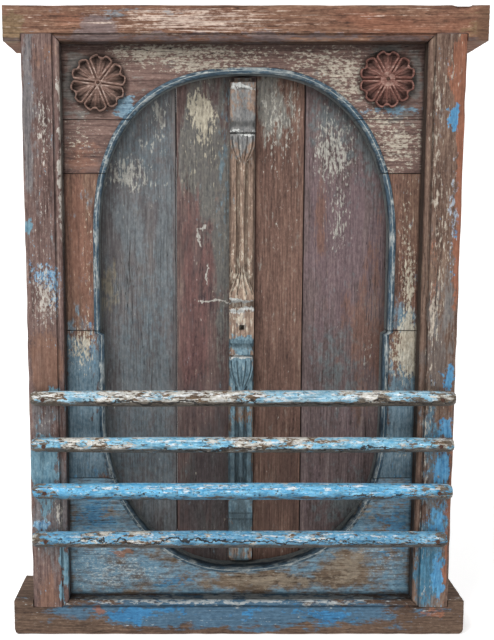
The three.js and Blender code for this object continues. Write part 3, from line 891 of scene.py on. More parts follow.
def weathered_timber(name, grain, wood, coats, seed, fade=(-25.0, 30.0), gloss=0.62):
    """Old teak left in the sun under what is left of its paint.

    The wood shows long fibres 2 mm wide in bands of 12 mm, with drying cracks along them. Each coat
    is a film with a torn edge: matt, a little raised, thinner at the arrises and nearly gone behind.
    """
    material = bpy.data.materials.new(name)
    material.use_nodes = True
    tree = material.node_tree
    shader = tree.nodes["Principled BSDF"]
    spot = add(tree, "TexCoord", {}, {}).outputs["Object"]
    axis = "xyz".index(grain)

    def along(stretch):
        scale = [1.0, 1.0, 1.0]
        scale[axis] = 1 / stretch
        shift = (seed * 0.37, seed * 0.53, seed * 0.71)
        return add(tree, "Mapping", {}, {"Vector": spot, "Location": shift, "Scale": scale})

    # The wood: bands and fibres along the grain, clouds of tone and a fine mottle
    fibre_room = along(20)
    bands = add(
        tree, "TexNoise", {}, {"Vector": fibre_room, "Scale": per(12), "Detail": 4.0, "Roughness": 0.6},
    )
    fibres = add(
        tree, "TexNoise", {}, {"Vector": fibre_room, "Scale": per(2.4), "Detail": 3.0, "Roughness": 0.6},
    )
    clouds = add(
        tree, "TexNoise", {}, {"Vector": along(2.5), "Scale": per(60), "Detail": 3.0, "Roughness": 0.5},
    )
    mottle = add(
        tree, "TexNoise", {}, {"Vector": along(2.2), "Scale": per(3.6), "Detail": 4.0, "Roughness": 0.7},
    )
    both = add(tree, "Math", {"operation": "MULTIPLY_ADD"}, {0: fibres, 1: 0.7, 2: bands})
    rough_wood = add(tree, "Math", {"operation": "MULTIPLY_ADD"}, {0: mottle, 1: 1.3, 2: both})
    cloudy = add(tree, "Math", {"operation": "MULTIPLY_ADD"}, {0: clouds, 1: 0.8, 2: rough_wood})
    tone = add(tree, "MapRange", {}, {"Value": cloudy, "From Min": 1.45, "From Max": 2.35})
    colour = tones(tree, tone, wood, 0.0, 1.0).outputs[0]

    # What moves the torn edges: a wandering drift, worn arrises, the weather side and pinholes
    drift = add(tree, "TexNoise", {}, {"Vector": spot, "Scale": per(26), "Detail": 4.0, "Roughness": 0.6})
    bend = add(
        tree, "VectorMath", {"operation": "MULTIPLY_ADD"},
        {0: drift.outputs["Color"], 1: (WANDER,) * 3, 2: spot},
    )
    wavy = add(tree, "VectorMath", {"operation": "SUBTRACT"}, {0: bend, 1: (WANDER / 2,) * 3})
    arris = add(tree, "Attribute", {"attribute_name": "arris"}, {}).outputs["Fac"]
    bead = add(tree, "Attribute", {"attribute_name": "bead"}, {}).outputs["Fac"]
    deep = add(tree, "SeparateXYZ", {}, {"Vector": spot}).outputs["Y"]
    behind = add(
        tree, "MapRange", {},
        {"Value": deep, "From Min": fade[0] / 1000, "From Max": fade[1] / 1000, "To Max": -0.5},
    )
    worn = add(tree, "Math", {"operation": "MULTIPLY_ADD"}, {0: arris, 1: -0.16, 2: behind})
    pinholes = add(tree, "Math", {"operation": "MULTIPLY_ADD"}, {0: mottle, 1: 0.3, 2: worn})
    ragged = add(tree, "Math", {"operation": "MULTIPLY_ADD"}, {0: fibres, 1: 0.2, 2: pinholes})
    height = add(tree, "Math", {"operation": "MULTIPLY"}, {0: both, 1: 0.4})

    # The films, from the oldest up
    cover = None
    for each in coats:
        film = add(
            tree, "TexNoise", {},
            {"Vector": along(each.stretch), "Scale": per(each.size), "Detail": 8.0, "Roughness": 0.66},
        )
        field = add(tree, "Math", {"operation": "ADD"}, {0: film, 1: ragged})
        for x, z, wide, tall, more in each.spots:
            place = (x / 1000, 0.0, z / 1000)
            size = (wide * SPOT_REACH / 1000, 50.0, tall * SPOT_REACH / 1000)
            inside = add(
                tree, "Mapping", {"vector_type": "TEXTURE"},
                {"Vector": wavy, "Location": place, "Scale": size},
            )
            near = add(tree, "TexGradient", {"gradient_type": "SPHERICAL"}, {"Vector": inside})
            field = add(
                tree, "Math", {"operation": "MULTIPLY_ADD"}, {0: near.outputs["Fac"], 1: more, 2: field},
            )
        if each.bead:
            off = add(tree, "Math", {"operation": "SUBTRACT"}, {0: bead, 1: each.bead})
            field = add(tree, "Math", {"operation": "ADD"}, {0: off, 1: field})
        mask = add(
            tree, "MapRange", {"interpolation_type": "SMOOTHSTEP"},
            {
                "Value": field, "From Min": each.start + RAGGED_MEAN,
                "From Max": each.start + RAGGED_MEAN + each.soft, "To Max": each.strong,
            },
        )
        paint = tones(tree, mottle, each.codes, 0.36, 0.64)
        coated = add(tree, "Mix", {"data_type": "RGBA"}, {0: mask, 6: colour, 7: paint})
        colour = coated.outputs[2]
        height = add(tree, "Math", {"operation": "MULTIPLY_ADD"}, {0: mask, 1: each.thick, 2: height})
        cover = mask if cover is None else add(tree, "Math", {"operation": "MAXIMUM"}, {0: mask, 1: cover})

    # Dirt in the fibres, drying cracks, and painted shade in corners, recesses and under things with the
    # dark joints, through paint and wood alike
    grime = add(
        tree, "MapRange", {},
        {"Value": fibres, "From Min": 0.34, "From Max": 0.62, "To Min": 0.78, "To Max": 1.12},
    )
    crack_line = add(
        tree, "TexNoise", {}, {"Vector": along(26), "Scale": per(6), "Detail": 2.0, "Roughness": 0.5},
    )
    off_line = add(tree, "Math", {"operation": "COMPARE"}, {0: crack_line, 1: 0.5, 2: 0.008})
    where = add(tree, "MapRange", {}, {"Value": clouds, "From Min": 0.5, "From Max": 0.62, "To Max": 0.6})
    cracks = add(tree, "Math", {"operation": "MULTIPLY"}, {0: off_line, 1: where})
    # This layer darkens the colour: painted shade, and the dark joints
    shade_and_joints = add(tree, "Attribute", {"attribute_name": "shade_and_joints"}, {}).outputs["Fac"]
    shade_and_joint_factor = add(tree, "MapRange", {}, {"Value": shade_and_joints, "To Min": 1.0, "To Max": 0.12})
    marked = add(tree, "Math", {"operation": "MULTIPLY"}, {0: grime, 1: shade_and_joint_factor})
    dark = add(tree, "Math", {"operation": "SUBTRACT"}, {0: marked, 1: cracks})
    final = add(tree, "VectorMath", {"operation": "SCALE"}, {0: colour, "Scale": dark})
    tree.links.new(final.outputs[0], shader.inputs["Base Color"])
    shader.inputs["Specular IOR Level"].default_value = 0.3
    if cover is None:
        shader.inputs["Roughness"].default_value = BARE_ROUGHNESS
    else:
        rough = add(tree, "MapRange", {}, {"Value": cover, "To Min": BARE_ROUGHNESS, "To Max": gloss})
        tree.links.new(rough.outputs[0], shader.inputs["Roughness"])
    relief = add(tree, "Math", {"operation": "MULTIPLY_ADD"}, {0: mottle, 1: 0.25, 2: height})
    sunk = add(tree, "Math", {"operation": "MULTIPLY_ADD"}, {0: cracks, 1: -0.9, 2: relief})
    bump = add(tree, "Bump", {}, {"Height": sunk, "Distance": 0.001, "Strength": 0.8})
    tree.links.new(bump.outputs["Normal"], shader.inputs["Normal"])
    return material


def head_timber():
    """Oiled teak, the warmest of the frame: red-brown, with pale raised fibres."""
    coats = [
        coat(
            ["#85553f", "#9a6650"], 40, [(-265, 980, 50, 25, 0.3), (235, 975, 130, 32, 0.3)],
            0.58, 0.25, strong=0.6,
        ),
        coat(
            ["#6b5c5b", "#7d7274"], 30, [(-222, 968, 30, 22, 0.5), (0, 953, 300, 6, 0.4)],
            0.66, 0.12, 2, 0.7,
        ),
        coat(
            ["#66573c", "#857252"], 24, [(-352, 968, 18, 34, 0.5), (347, 965, 26, 32, 0.3)],
            0.66, 0.15, 2, 0.6,
        ),
        coat(["#c2aa9c", "#dccabb"], 1.8, [(-80, 976, 125, 24, 0.2)], 0.6, 0.1, 40, 0.75, 0.1),
        coat(
            ["#66737b", "#818d95"], 6, [(-190, 990, 42, 8, 0.3), (-110, 988, 30, 6, 0.2)],
            0.66, 0.16, 4, 0.7,
        ),
        coat(["#463736", "#5f5150"], 12, (), 0.38, 0.1, 6, 0.8, 0.1, 1.0),
        coat(["#5e4232", "#745540"], 20, [(366, 970, 16, 40, 0.5)], 0.6, 0.2, 2, 0.85),
    ]
    return weathered_timber(
        "weathered_teak_head", "x", ["#4b352b", "#6d4d3e", "#866552", "#a38673"], coats, 1.0,
    )


def left_stile_timber():
    """Weathered teak, grey-brown, with cream scraps on its inner edge, laid along the bead's crest as a
    painted highlight too, and blue ones outside.
    """
    coats = [
        coat(
            ["#63666b", "#7e7f80"], 22, [(-335, 850, 14, 110, 0.4), (-310, 250, 35, 150, 0.25)],
            0.54, 0.15, 4, 0.65,
        ),
        coat(
            ["#765647", "#876553"], 26,
            [(-310, 452, 30, 42, 0.6), (-300, 930, 20, 20, 0.25), (-325, 60, 25, 40, 0.3)],
            0.6, 0.2, 3, 0.8,
        ),
        coat(
            ["#547a8c", "#7d9eac"], 9,
            [
                (-310, 300, 30, 55, 0.3), (-322, 282, 16, 28, 0.6), (-335, 665, 7, 16, 0.6),
                (-287, 110, 9, 60, 0.45), (-290, 400, 14, 15, 0.5), (-314, 225, 24, 40, 0.26),
            ],
            0.66, 0.06, 2.5,
        ),
        coat(
            ["#487fa8", "#9cc3da"], 4.5,
            [(-312, 592, 28, 20, 0.26), (-290, 560, 14, 30, 0.2), (-325, 187, 11, 9, 0.5)],
            0.66, 0.06, 1.5, 0.85,
        ),
        coat(
            ["#9d968c", "#cfcac1"], 3.2,
            [
                # The spots at x -279 lay the cream along the bead's crest: paint scraps with a painted
                # highlight
                (-308, 555, 30, 48, 0.24), (-305, 822, 12, 50, 0.2), (-279, 830, 6, 80, 0.6),
                (-279, 695, 7, 55, 0.5), (-310, 690, 18, 75, 0.1), (-293, 205, 8, 26, 0.3),
                (-312, 350, 20, 30, 0.1),
            ],
            0.66, 0.07, 2.6, 0.8,
        ),
    ]
    return weathered_timber(
        "weathered_teak_left", "z", ["#483633", "#66514c", "#7c6660", "#998579"], coats, 2.0,
    )


def right_stile_timber():
    """Weathered teak, bare and orange on its outer edge, teal and bright blue lower down."""
    coats = [
        coat(
            ["#62686c", "#7b7d7c"], 22,
            [(320, 545, 22, 70, 0.35), (310, 300, 30, 100, 0.2), (300, 95, 18, 55, 0.5)],
            0.58, 0.15, 4, 0.65,
        ),
        coat(
            ["#82533f", "#97634c"], 30,
            [(338, 760, 9, 210, 0.7), (330, 905, 22, 40, 0.5), (336, 230, 6, 170, 0.4)],
            0.62, 0.08, 8, 0.9,
        ),
        coat(
            ["#41687d", "#6a90a2"], 12,
            [(300, 330, 18, 60, 0.35), (315, 200, 25, 60, 0.3), (300, 100, 24, 60, 0.36)],
            0.64, 0.16, 2.5, 0.9,
        ),
        coat(
            ["#2f6480", "#48809b"], 10, [(302, 105, 18, 50, 0.5), (318, 290, 18, 70, 0.22)],
            0.64, 0.14, 2, 0.85,
        ),
        coat(["#5a5350", "#6d645f"], 14, [(306, 450, 30, 50, 0.4)], 0.6, 0.2, 3, 0.7),
        coat(
            ["#a09587", "#cfc5b5"], 3.2,
            [
                (293, 825, 9, 120, 0.17), (312, 710, 15, 75, 0.14), (312, 890, 16, 50, 0.1),
                (303, 525, 8, 50, 0.22), (305, 600, 16, 60, 0.07), (293, 350, 10, 110, 0.16),
                (292, 130, 8, 70, 0.16),
            ],
            0.64, 0.08, 6, 0.8,
        ),
        coat(
            ["#3a7fae", "#5f9fc6"], 6,
            [
                (321, 835, 8, 18, 0.55), (330, 425, 10, 20, 0.5), (326, 345, 14, 17, 0.5),
                (322, 280, 14, 28, 0.5), (318, 190, 18, 34, 0.35), (321, 100, 9, 38, 0.6),
                (330, 640, 5, 80, 0.16),
            ],
            0.66, 0.12, 1.6, 0.9,
        ),
        coat(
            ["#8393a5", "#b4bdc8"], 4, [(325, 690, 6, 85, 0.22), (300, 420, 10, 20, 0.14)],
            0.66, 0.08, 3, 0.8,
        ),
    ]
    return weathered_timber(
        "weathered_teak_right", "z", ["#46352e", "#654f44", "#7b6558", "#98836f"], coats, 3.0,
    )


def sill_timber():
    """Weathered teak under thin blue paint, brighter where it has stayed thick."""
    coats = [
        coat(["#395b74", "#53778f"], 14, [(-10, 40, 245, 26, 0.6)], 0.6, 0.14, 3, 0.92),
        coat(
            ["#855440", "#99664d"], 10, [(-232, 40, 12, 10, 0.5), (310, 42, 30, 12, 0.3)],
            0.66, 0.12, 2, 0.8,
        ),
        coat(
            ["#2b6b9b", "#3f8abb"], 7,
            [
                (-187, 33, 27, 10, 0.7), (-125, 42, 50, 14, 0.26), (10, 36, 24, 16, 0.22),
                (90, 40, 60, 12, 0.17), (155, 32, 40, 14, 0.32),
            ],
            0.68, 0.07, 2, 0.85,
        ),
        coat(
            ["#8b9497", "#c3c6c3"], 3.2,
            [(0, 56, 275, 6, 0.42), (-30, 22, 180, 10, 0.06), (290, 40, 40, 10, 0.12)],
            0.66, 0.07, 3, 0.8,
        ),
    ]
    return weathered_timber(
        "weathered_teak_sill", "x", ["#403128", "#5b483c", "#6f5a4b", "#8a7563"], coats, 4.0,
    )


# Paint on the arch's bead: dull blue on the outside, rubbed pale on its crest with a painted highlight,
# dark on the inner side and the arch's inner wall with painted shade
BEAD_PAINT = coat(["#2b3f4d", "#4b697b"], 14, (), 0.34, 0.1, 3, 0.95, 0.2, 1.0)
BEAD_RUB_AND_HIGHLIGHT = coat(["#7c8a90", "#c9cbc4"], 9, (), 0.44, 0.14, 4, 0.8, 0.1, 2.0)
BEAD_DARK_PAINT_AND_SHADE = coat(["#1d2e3b", "#35566b"], 14, (), 0.34, 0.14, 3, 0.92, 0.0, 3.0)


def upper_surround_timber():
    """Brush-painted teak, its cream paint flaked down to the grey-pink wood."""
    coats = [
        coat(
            ["#646766", "#817f79"], 20, [(-262, 900, 22, 50, 0.3), (240, 890, 55, 60, 0.25)],
            0.58, 0.12, 2, 0.7,
        ),
        coat(["#7b5545", "#8c6452"], 16, [(-252, 775, 28, 24, 0.4)], 0.62, 0.2, 3, 0.7), BEAD_PAINT,
        BEAD_RUB_AND_HIGHLIGHT, BEAD_DARK_PAINT_AND_SHADE,
        coat(
            ["#9d9384", "#cfc6b5"], 3.2,
            [
                (140, 912, 52, 42, 0.2), (185, 885, 40, 35, 0.14), (-90, 937, 105, 12, 0.22),
                (-60, 915, 60, 8, 0.24), (-150, 930, 60, 20, 0.14), (20, 925, 80, 20, 0.1),
                (245, 795, 45, 42, 0.24), (-255, 800, 25, 35, 0.13), (200, 835, 25, 12, 0.14),
            ],
            0.64, 0.08, 2, 0.85,
        ),
        coat(
            ["#4b6f85", "#8fb0c1"], 6, [(-184, 852, 17, 15, 0.5), (240, 848, 60, 9, 0.3)],
            0.66, 0.1, 2, 0.85,
        ),
    ]
    wood = ["#4a3734", "#6a544e", "#806860", "#9c867b"]
    return weathered_timber("painted_teak_upper_surround", "x", wood, coats, 5.0, (-5.0, 12.0))


def side_surround_timber():
    """Brush-painted teak: brown above, cream at the middle joints and dull blue below."""
    coats = [
        coat(
            ["#7a5546", "#8f6757"], 20, [(-262, 630, 30, 125, 0.3), (262, 630, 30, 125, 0.14)],
            0.55, 0.2, 5, 0.7,
        ),
        coat(
            ["#587788", "#8098a4"], 16,
            [
                (-262, 300, 40, 170, 0.5), (262, 330, 40, 120, 0.45), (262, 230, 40, 60, 0.5),
                (-262, 430, 30, 50, 0.16), (262, 520, 22, 22, 0.4),
            ],
            0.58, 0.16, 2, 0.92,
        ),
        BEAD_PAINT, BEAD_RUB_AND_HIGHLIGHT, BEAD_DARK_PAINT_AND_SHADE,
        coat(
            ["#3c7399", "#6c9dbb"], 6,
            [(250, 215, 40, 55, 0.28), (-255, 225, 35, 50, 0.24), (-243, 480, 8, 60, 0.2)],
            0.66, 0.1, 2, 0.85,
        ),
        coat(
            ["#a39a88", "#d8cfbb"], 3.4,
            [
                (268, 470, 24, 50, 0.44), (-258, 475, 18, 36, 0.28), (270, 560, 8, 60, 0.22),
                (260, 640, 12, 120, 0.17), (-245, 600, 8, 120, 0.14), (265, 310, 25, 30, 0.14),
            ],
            0.66, 0.08, 2.5, 0.85,
        ),
    ]
    wood = ["#4a362f", "#6d5247", "#836757", "#a08876"]
    return weathered_timber("painted_teak_side_surround", "z", wood, coats, 6.0, (-5.0, 12.0))


def lower_surround_timber():
    """Brush-painted teak, blue nearly all over, worn to ochre wood at the foot."""
    coats = [
        coat(
            ["#5985a0", "#86abbe"], 18, [(40, 80, 115, 16, -0.3), (180, 105, 40, 25, -0.3)],
            0.3, 0.3, 2, 0.93,
        ),
        BEAD_PAINT, BEAD_RUB_AND_HIGHLIGHT, BEAD_DARK_PAINT_AND_SHADE,
        coat(
            ["#85796a", "#a39480"], 8,
            [(180, 108, 40, 26, 0.3), (205, 200, 18, 16, 0.3), (60, 80, 115, 11, 0.32)],
            0.62, 0.14, 2, 0.85,
        ),
        coat(
            ["#37769f", "#5b95b9"], 6,
            [(-110, 78, 35, 12, 0.3), (255, 170, 35, 60, 0.3), (-240, 190, 35, 45, 0.32)],
            0.66, 0.1, 2, 0.85,
        ),
        coat(["#8d6450", "#a37861"], 6, [(-195, 130, 22, 6, 0.5)], 0.66, 0.1, 3, 0.8),
        coat(
            ["#93a3aa", "#cfd5d3"], 2.8,
            [(-230, 100, 55, 45, 0.14), (-160, 95, 50, 20, 0.1), (240, 110, 30, 30, 0.12)],
            0.64, 0.07, 1.6, 0.8,
        ),
    ]
    wood = ["#52443a", "#736252", "#897765", "#a5927c"]
    return weathered_timber("painted_teak_lower_surround", "x", wood, coats, 7.0, (-5.0, 12.0))


def plank_timber(number):
    """Sawn teak planks, each weathered its own grey, plum or brown, with pale flecks of paint."""
    fleck = ["#918f88", "#c4c1b6"]
    woods = [
        ["#544f50", "#625e5f", "#6f6a69", "#7e7873"], ["#45383a", "#604e4c", "#705d58", "#86756b"],
        ["#4b3932", "#684f46", "#7a5f53", "#907a6c"], ["#483d3c", "#645554", "#746463", "#8a7b74"],
    ]
    coats = [
        [
            coat(["#575f64", "#757b7e"], 26, (), 0.36, 0.22, 4, 0.8, 0.1),
            coat(
                ["#4d6069", "#687b84"], 9,
                [(-150, 790, 55, 70, 0.24), (-150, 500, 55, 110, 0.2), (-170, 290, 80, 70, 0.3)],
                0.54, 0.3, 1.4, 0.5, 0.1,
            ),
            coat(["#7b705c", "#988b72"], 12, [(-215, 565, 14, 45, 0.4)], 0.66, 0.15, 4, 0.6, 0.1),
            coat(
                fleck, 3.6,
                [(-182, 745, 32, 24, 0.22), (-150, 770, 50, 60, 0.12), (-130, 845, 12, 25, 0.25)],
                0.68, 0.06, 3, 0.7,
            ),
        ],
        [
            coat(
                ["#555a59", "#74766f"], 20,
                [(-40, 620, 28, 130, 0.3), (-60, 800, 60, 90, 0.2), (-78, 520, 30, 150, -0.35)],
                0.5, 0.15, 5, 0.7, 0.1,
            ),
            coat(["#624240", "#7a5550"], 22, [(-80, 540, 25, 170, 0.3)], 0.55, 0.15, 6, 0.6, 0.1),
            # Painted shade over the plank's lower part, where the rods stand in front
            coat(["#3b3637", "#4b4648"], 20, [(-50, 240, 70, 150, 0.4)], 0.55, 0.25, 4, 0.75, 0.0),
            coat(["#4d6672", "#6d8590"], 6, [(-28, 770, 9, 150, 0.2)], 0.62, 0.14, 3, 0.7, 0.1),
            coat(
                ["#98907f", "#c8bfaa"], 4.2,
                [(-62, 842, 16, 36, 0.34), (-80, 860, 12, 20, 0.2), (-60, 790, 40, 60, 0.1)],
                0.66, 0.08, 3.5, 0.85,
            ),
            coat(
                ["#a9a59c", "#cfccc4"], 3.0,
                [
                    (-66, 652, 2.2, 14, 0.6), (-42, 548, 26, 1.8, 0.6), (-56, 590, 1.6, 16, 0.45),
                    (-61, 668, 3, 4, 0.5),
                ],
                0.68, 0.06, 3, 0.8,
            ),
        ],
        [
            coat(
                ["#6b7270", "#92938a"], 8, [(55, 850, 34, 50, 0.3), (30, 880, 20, 40, 0.3)],
                0.58, 0.2, 3, 0.7, 0.1,
            ),
            # Painted shade over the plank's lower part, where the rods stand in front
            coat(["#40302c", "#523e37"], 30, [(60, 250, 60, 150, 0.3)], 0.6, 0.3, 4, 0.6, 0.0),
            coat(fleck, 3.2, [(60, 835, 36, 66, 0.2), (60, 700, 40, 60, 0.05)], 0.66, 0.08, 3, 0.8),
        ],
        [
            coat(["#665258", "#7d696c"], 26, [(170, 640, 70, 110, 0.3)], 0.5, 0.2, 4, 0.6, 0.1),
            coat(
                ["#65473b", "#7f5c4c"], 20, [(215, 480, 45, 110, 0.35), (130, 690, 20, 60, 0.3)],
                0.6, 0.15, 5, 0.7, 0.1,
            ),
            coat(
                ["#526164", "#6d7b7d"], 9,
                [
                    (150, 840, 60, 50, 0.3), (215, 770, 34, 60, 0.26), (155, 430, 40, 70, 0.26),
                    (190, 207, 60, 40, 0.4),
                ],
                0.56, 0.26, 1.6, 0.65, 0.1,
            ),
            coat(
                fleck, 3.6,
                [
                    (155, 785, 30, 65, 0.24), (160, 668, 18, 50, 0.22), (130, 790, 15, 50, 0.14),
                    (210, 450, 10, 40, 0.18),
                ],
                0.68, 0.06, 3.5, 0.8,
            ),
        ],
    ][number]
    return weathered_timber(
        f"weathered_teak_plank_{number + 1}", "z", woods[number], coats, 8.0 + number, (20.0, 32.0),
    )


def astragal_timber():
    """Carved teak with grey paint at the top, bare pale ridges and blue paint in the lower half."""
    coats = [
        coat(
            ["#5f676b", "#8b8f90"], 6,
            [(0, 860, 25, 50, 0.3), (0, 825, 25, 20, 0.4), (0, 790, 25, 25, 0.24), (0, 515, 25, 32, 0.16)],
            0.6, 0.14, 2, 0.8,
        ),
        coat(
            ["#507486", "#8aabb8"], 12,
            [(0, 430, 25, 45, 0.6), (0, 200, 25, 90, 0.5), (0, 480, 25, 8, 0.6), (0, 300, 25, 60, 0.4)],
            0.64, 0.08, 2, 0.9,
        ),
        coat(
            ["#b1a391", "#ded4c2"], 4,
            [(0, 585, 22, 40, 0.22), (0, 520, 22, 25, 0.2), (0, 690, 25, 90, 0.1)],
            0.64, 0.06, 3, 0.8,
        ),
        coat(
            ["#3f4a4f", "#54646b"], 14, [(0, 190, 30, 90, 0.35), (0, 300, 30, 60, 0.25)],
            0.6, 0.2, 2, 0.8,
        ),
        coat(
            ["#b9bcba", "#dfe0dc"], 5,
            [
                (0, 882, 25, 4, 0.5), (0, 548, 25, 3, 0.6), (0, 531, 25, 4, 0.6), (0, 456, 25, 3, 0.5),
                (0, 815, 25, 3, 0.4),
            ],
            0.68, 0.06, 2, 0.9,
        ),
    ]
    wood = ["#5a483e", "#877163", "#a28b7a", "#c0ad99"]
    return weathered_timber("carved_teak_astragal", "z", wood, coats, 13.0, (8.0, 24.0))


def rod_timber(number):
    """Oil paint brushed on a teak rod: white under blue, flaked to brown wood and split."""
    sky = [
        [
            (-255, 398, 28, 20, 0.3), (70, 398, 50, 20, 0.3), (150, 398, 40, 20, 0.25),
            (270, 398, 35, 20, 0.35),
        ],
        [(-110, 323, 70, 20, 0.25), (200, 323, 90, 20, 0.2), (-310, 323, 20, 20, 0.2)],
        [(-120, 247, 170, 20, 0.25), (170, 247, 120, 20, 0.2)],
        [(-40, 167, 90, 20, 0.2), (200, 167, 110, 20, 0.25), (-290, 167, 30, 20, 0.25)],
    ][number]
    blues = [
        ["#79b6d6", "#bde1ef"],
        ["#60b4de", "#abdef2"],
        ["#43a6dc", "#8ad0ef"],
        ["#4d99c8", "#8ac3de"],
    ][number]
    height = RODS[number][0]
    # How strong the painted highlight along each rod's top is
    painted_highlight = (0.14, 0.13, 0.12, 0.08)[number]
    split = [
        [(-150, 394, 90, 1.6, 0.4), (90, 393, 130, 1.6, 0.35), (250, 396, 60, 1.4, 0.3)],
        [(-30, 318, 90, 1.6, 0.35), (190, 319, 80, 1.4, 0.3)],
        [(-190, 242, 60, 1.2, 0.12), (210, 243, 70, 1.2, 0.2)],
        [(-60, 169, 200, 1.2, 0.5), (210, 165, 90, 1.2, 0.24), (-250, 165, 50, 1.2, 0.2)],
    ][number]
    ends = [(-322, height, 26, 22, 0.16), (322, height, 26, 22, 0.16), (NAIL_X - 45, height, 20, 18, 0.1)]
    if number == 0:
        ends += [(185, height - 6, 60, 9, 0.22), (265, height - 4, 50, 9, 0.2)]
    coats = [
        coat(["#b5afa2", "#f1f0ea"], 8, (), (0.46, 0.45, 0.4, 0.46)[number], 0.03, 3, 1.0, 0.6),
        coat(blues, 11, sky, (0.57, 0.53, 0.46, 0.5)[number], 0.03, 2.6, 0.95, 0.35),
        # A painted highlight: a thin white streak along the rod's top
        coat(["#dfe6ea", "#fbfcfb"], 5, [(0, height + 8, 380, 5, painted_highlight)], 0.6, 0.08, 5, 0.8, 0.25),
        coat(["#574a3e", "#8a7a68"], 5, ends, 0.62, 0.03, 3, 0.95, -0.5),
        coat(["#564b41", "#8b7d6d"], 9, (), (0.33, 0.37, 0.48, 0.34)[number], 0.06, 3, 0.9, -0.4, 1.0),
        coat(["#241f1c", "#3a322c"], 2.4, split, 0.6, 0.04, 2, 0.95, -0.6),
    ]
    wood = ["#43352b", "#705c4a", "#927e68", "#b1a18b"]
    return weathered_timber(
        f"brushed_oil_paint_rod_{number + 1}", "x", wood, coats, 14.0 + number, (100.0, 200.0), 0.42,
    )


def carved_teak(side):
    """Bare carved teak: dark and close-grained, with pale rubbed ridges that carry a painted highlight. The
    right one is redder.
    """
    # Pale on the ridges: rubbed wood with a painted highlight
    pale = ["#967e73", "#c7b2a7"] if side == "left" else ["#8a6458", "#bb9d90"]
    wood = ["#5a4239", "#785d52", "#8d7267", "#a98f83"]
    if side == "right":
        wood = ["#57382f", "#785148", "#8e685e", "#ac8c81"]
    coats = [coat(pale, 5, (), 0.34, 0.2, 2, 0.75, 0.1, 1.0)]
    return weathered_timber(f"carved_teak_rosette_{side}", "x", wood, coats, 19.0)


def plain_teak():
    """The battens behind: sawn teak that the weather hasn't reached."""
    return weathered_timber("sawn_teak_batten", "x", ["#4a362b", "#73574a", "#8d7060", "#a58b78"], [], 20.0)


def forged_iron():
    """Forged iron nails, rusted brown: matt, with darker scale in spots of 2 mm."""
    material = bpy.data.materials.new("forged_iron_rusted")
    material.use_nodes = True
    tree = material.node_tree
    shader = tree.nodes["Principled BSDF"]
    spot = add(tree, "TexCoord", {}, {}).outputs["Object"]
    scale = add(tree, "TexNoise", {}, {"Vector": spot, "Scale": per(2), "Detail": 5.0, "Roughness": 0.6})
    rust = tones(tree, scale, ["#241c1a", "#4a3228", "#6e4632"])
    tree.links.new(rust.outputs[0], shader.inputs["Base Color"])
    shader.inputs["Metallic"].default_value = 0.35
    shader.inputs["Roughness"].default_value = 0.72
    bump = add(tree, "Bump", {}, {"Height": scale, "Distance": 0.0005, "Strength": 0.7})
    tree.links.new(bump.outputs["Normal"], shader.inputs["Normal"])
    return material


def studio_white():
    """Matt white paper, a little lit from within so that it shows no grey."""
    material = bpy.data.materials.new("matt_paper_sweep")
    material.use_nodes = True
    shader = material.node_tree.nodes["Principled BSDF"]
    shader.inputs["Base Color"].default_value = linear("#f6f6f6")
    shader.inputs["Roughness"].default_value = 0.95
    shader.inputs["Emission Color"].default_value = linear("#ffffff")
    shader.inputs["Emission Strength"].default_value = 0.42
    return material


# The add-on


class OldWindowSizes(bpy.types.PropertyGroup):
    """Wear of the old window."""

    grain_depth: bpy.props.FloatProperty(
        name="Grain depth",
        description="How deep the weather has eaten between the fibres",
        default=0.0004,
        min=0.0,
        max=0.002,
        precision=5,
        unit="LENGTH",
    )
    hollow_depth: bpy.props.FloatProperty(
        name="Hollow depth",
        description="How far the faces lie under the new timber's surface",
        default=0.0005,
        min=0.0,
        max=0.003,
        precision=5,
        unit="LENGTH",
    )
    arris_wear: bpy.props.FloatProperty(
        name="Arris wear",
        description="How much is rubbed and knocked off the arrises",
        default=0.0022,
        min=0.0,
        max=0.005,
        precision=5,
        unit="LENGTH",
    )
    key_power: bpy.props.FloatProperty(
        name="Key light",
        description="Power of the soft light at the upper left",
        default=68.0,
        min=0.0,
        unit="POWER",
    )
    backdrop_light: bpy.props.FloatVectorProperty(
        name="Room light",
        description="Colour of the light all round",
        default=linear("#ffffff")[:3],
        size=3,
        min=0.0,
        max=1.0,
        subtype="COLOR",
    )


class OLDWINDOW_OT_frame(bpy.types.Operator):
    """Makes the head, the sill and the two stiles"""

    bl_idname = "old_window.frame"
    bl_label = "Frame"

    def execute(self, context):
        head = weather(
            rail(HEIGHT - HEAD_BOTTOM, 1, HEAD_ENDS, HEAD_BOTTOM), "x", 1, 1.3, damage=head_damage,
            shade_and_joints=frame_painted_shade,
        )
        sink_socket(head, HEAD_BOTTOM, 1)
        keep(head, "top_rail", "frame", "head", head_timber())
        sill = weather(rail(SILL_TOP, -1, SILL_ENDS, SILL_TOP), "x", 2, shade_and_joints=frame_painted_shade)
        sink_socket(sill, SILL_TOP, -1)
        keep(sill, "bottom_rail", "frame", "sill", sill_timber())
        left = weather(stile(-1), "z", 3, damage=scored, shade_and_joints=frame_painted_shade)
        keep(left, "left_upright", "frame", "stile_left", left_stile_timber())
        right = weather(stile(1), "z", 4, damage=scored, shade_and_joints=frame_painted_shade)
        keep(right, "right_upright", "frame", "stile_right", right_stile_timber())
        return {"FINISHED"}


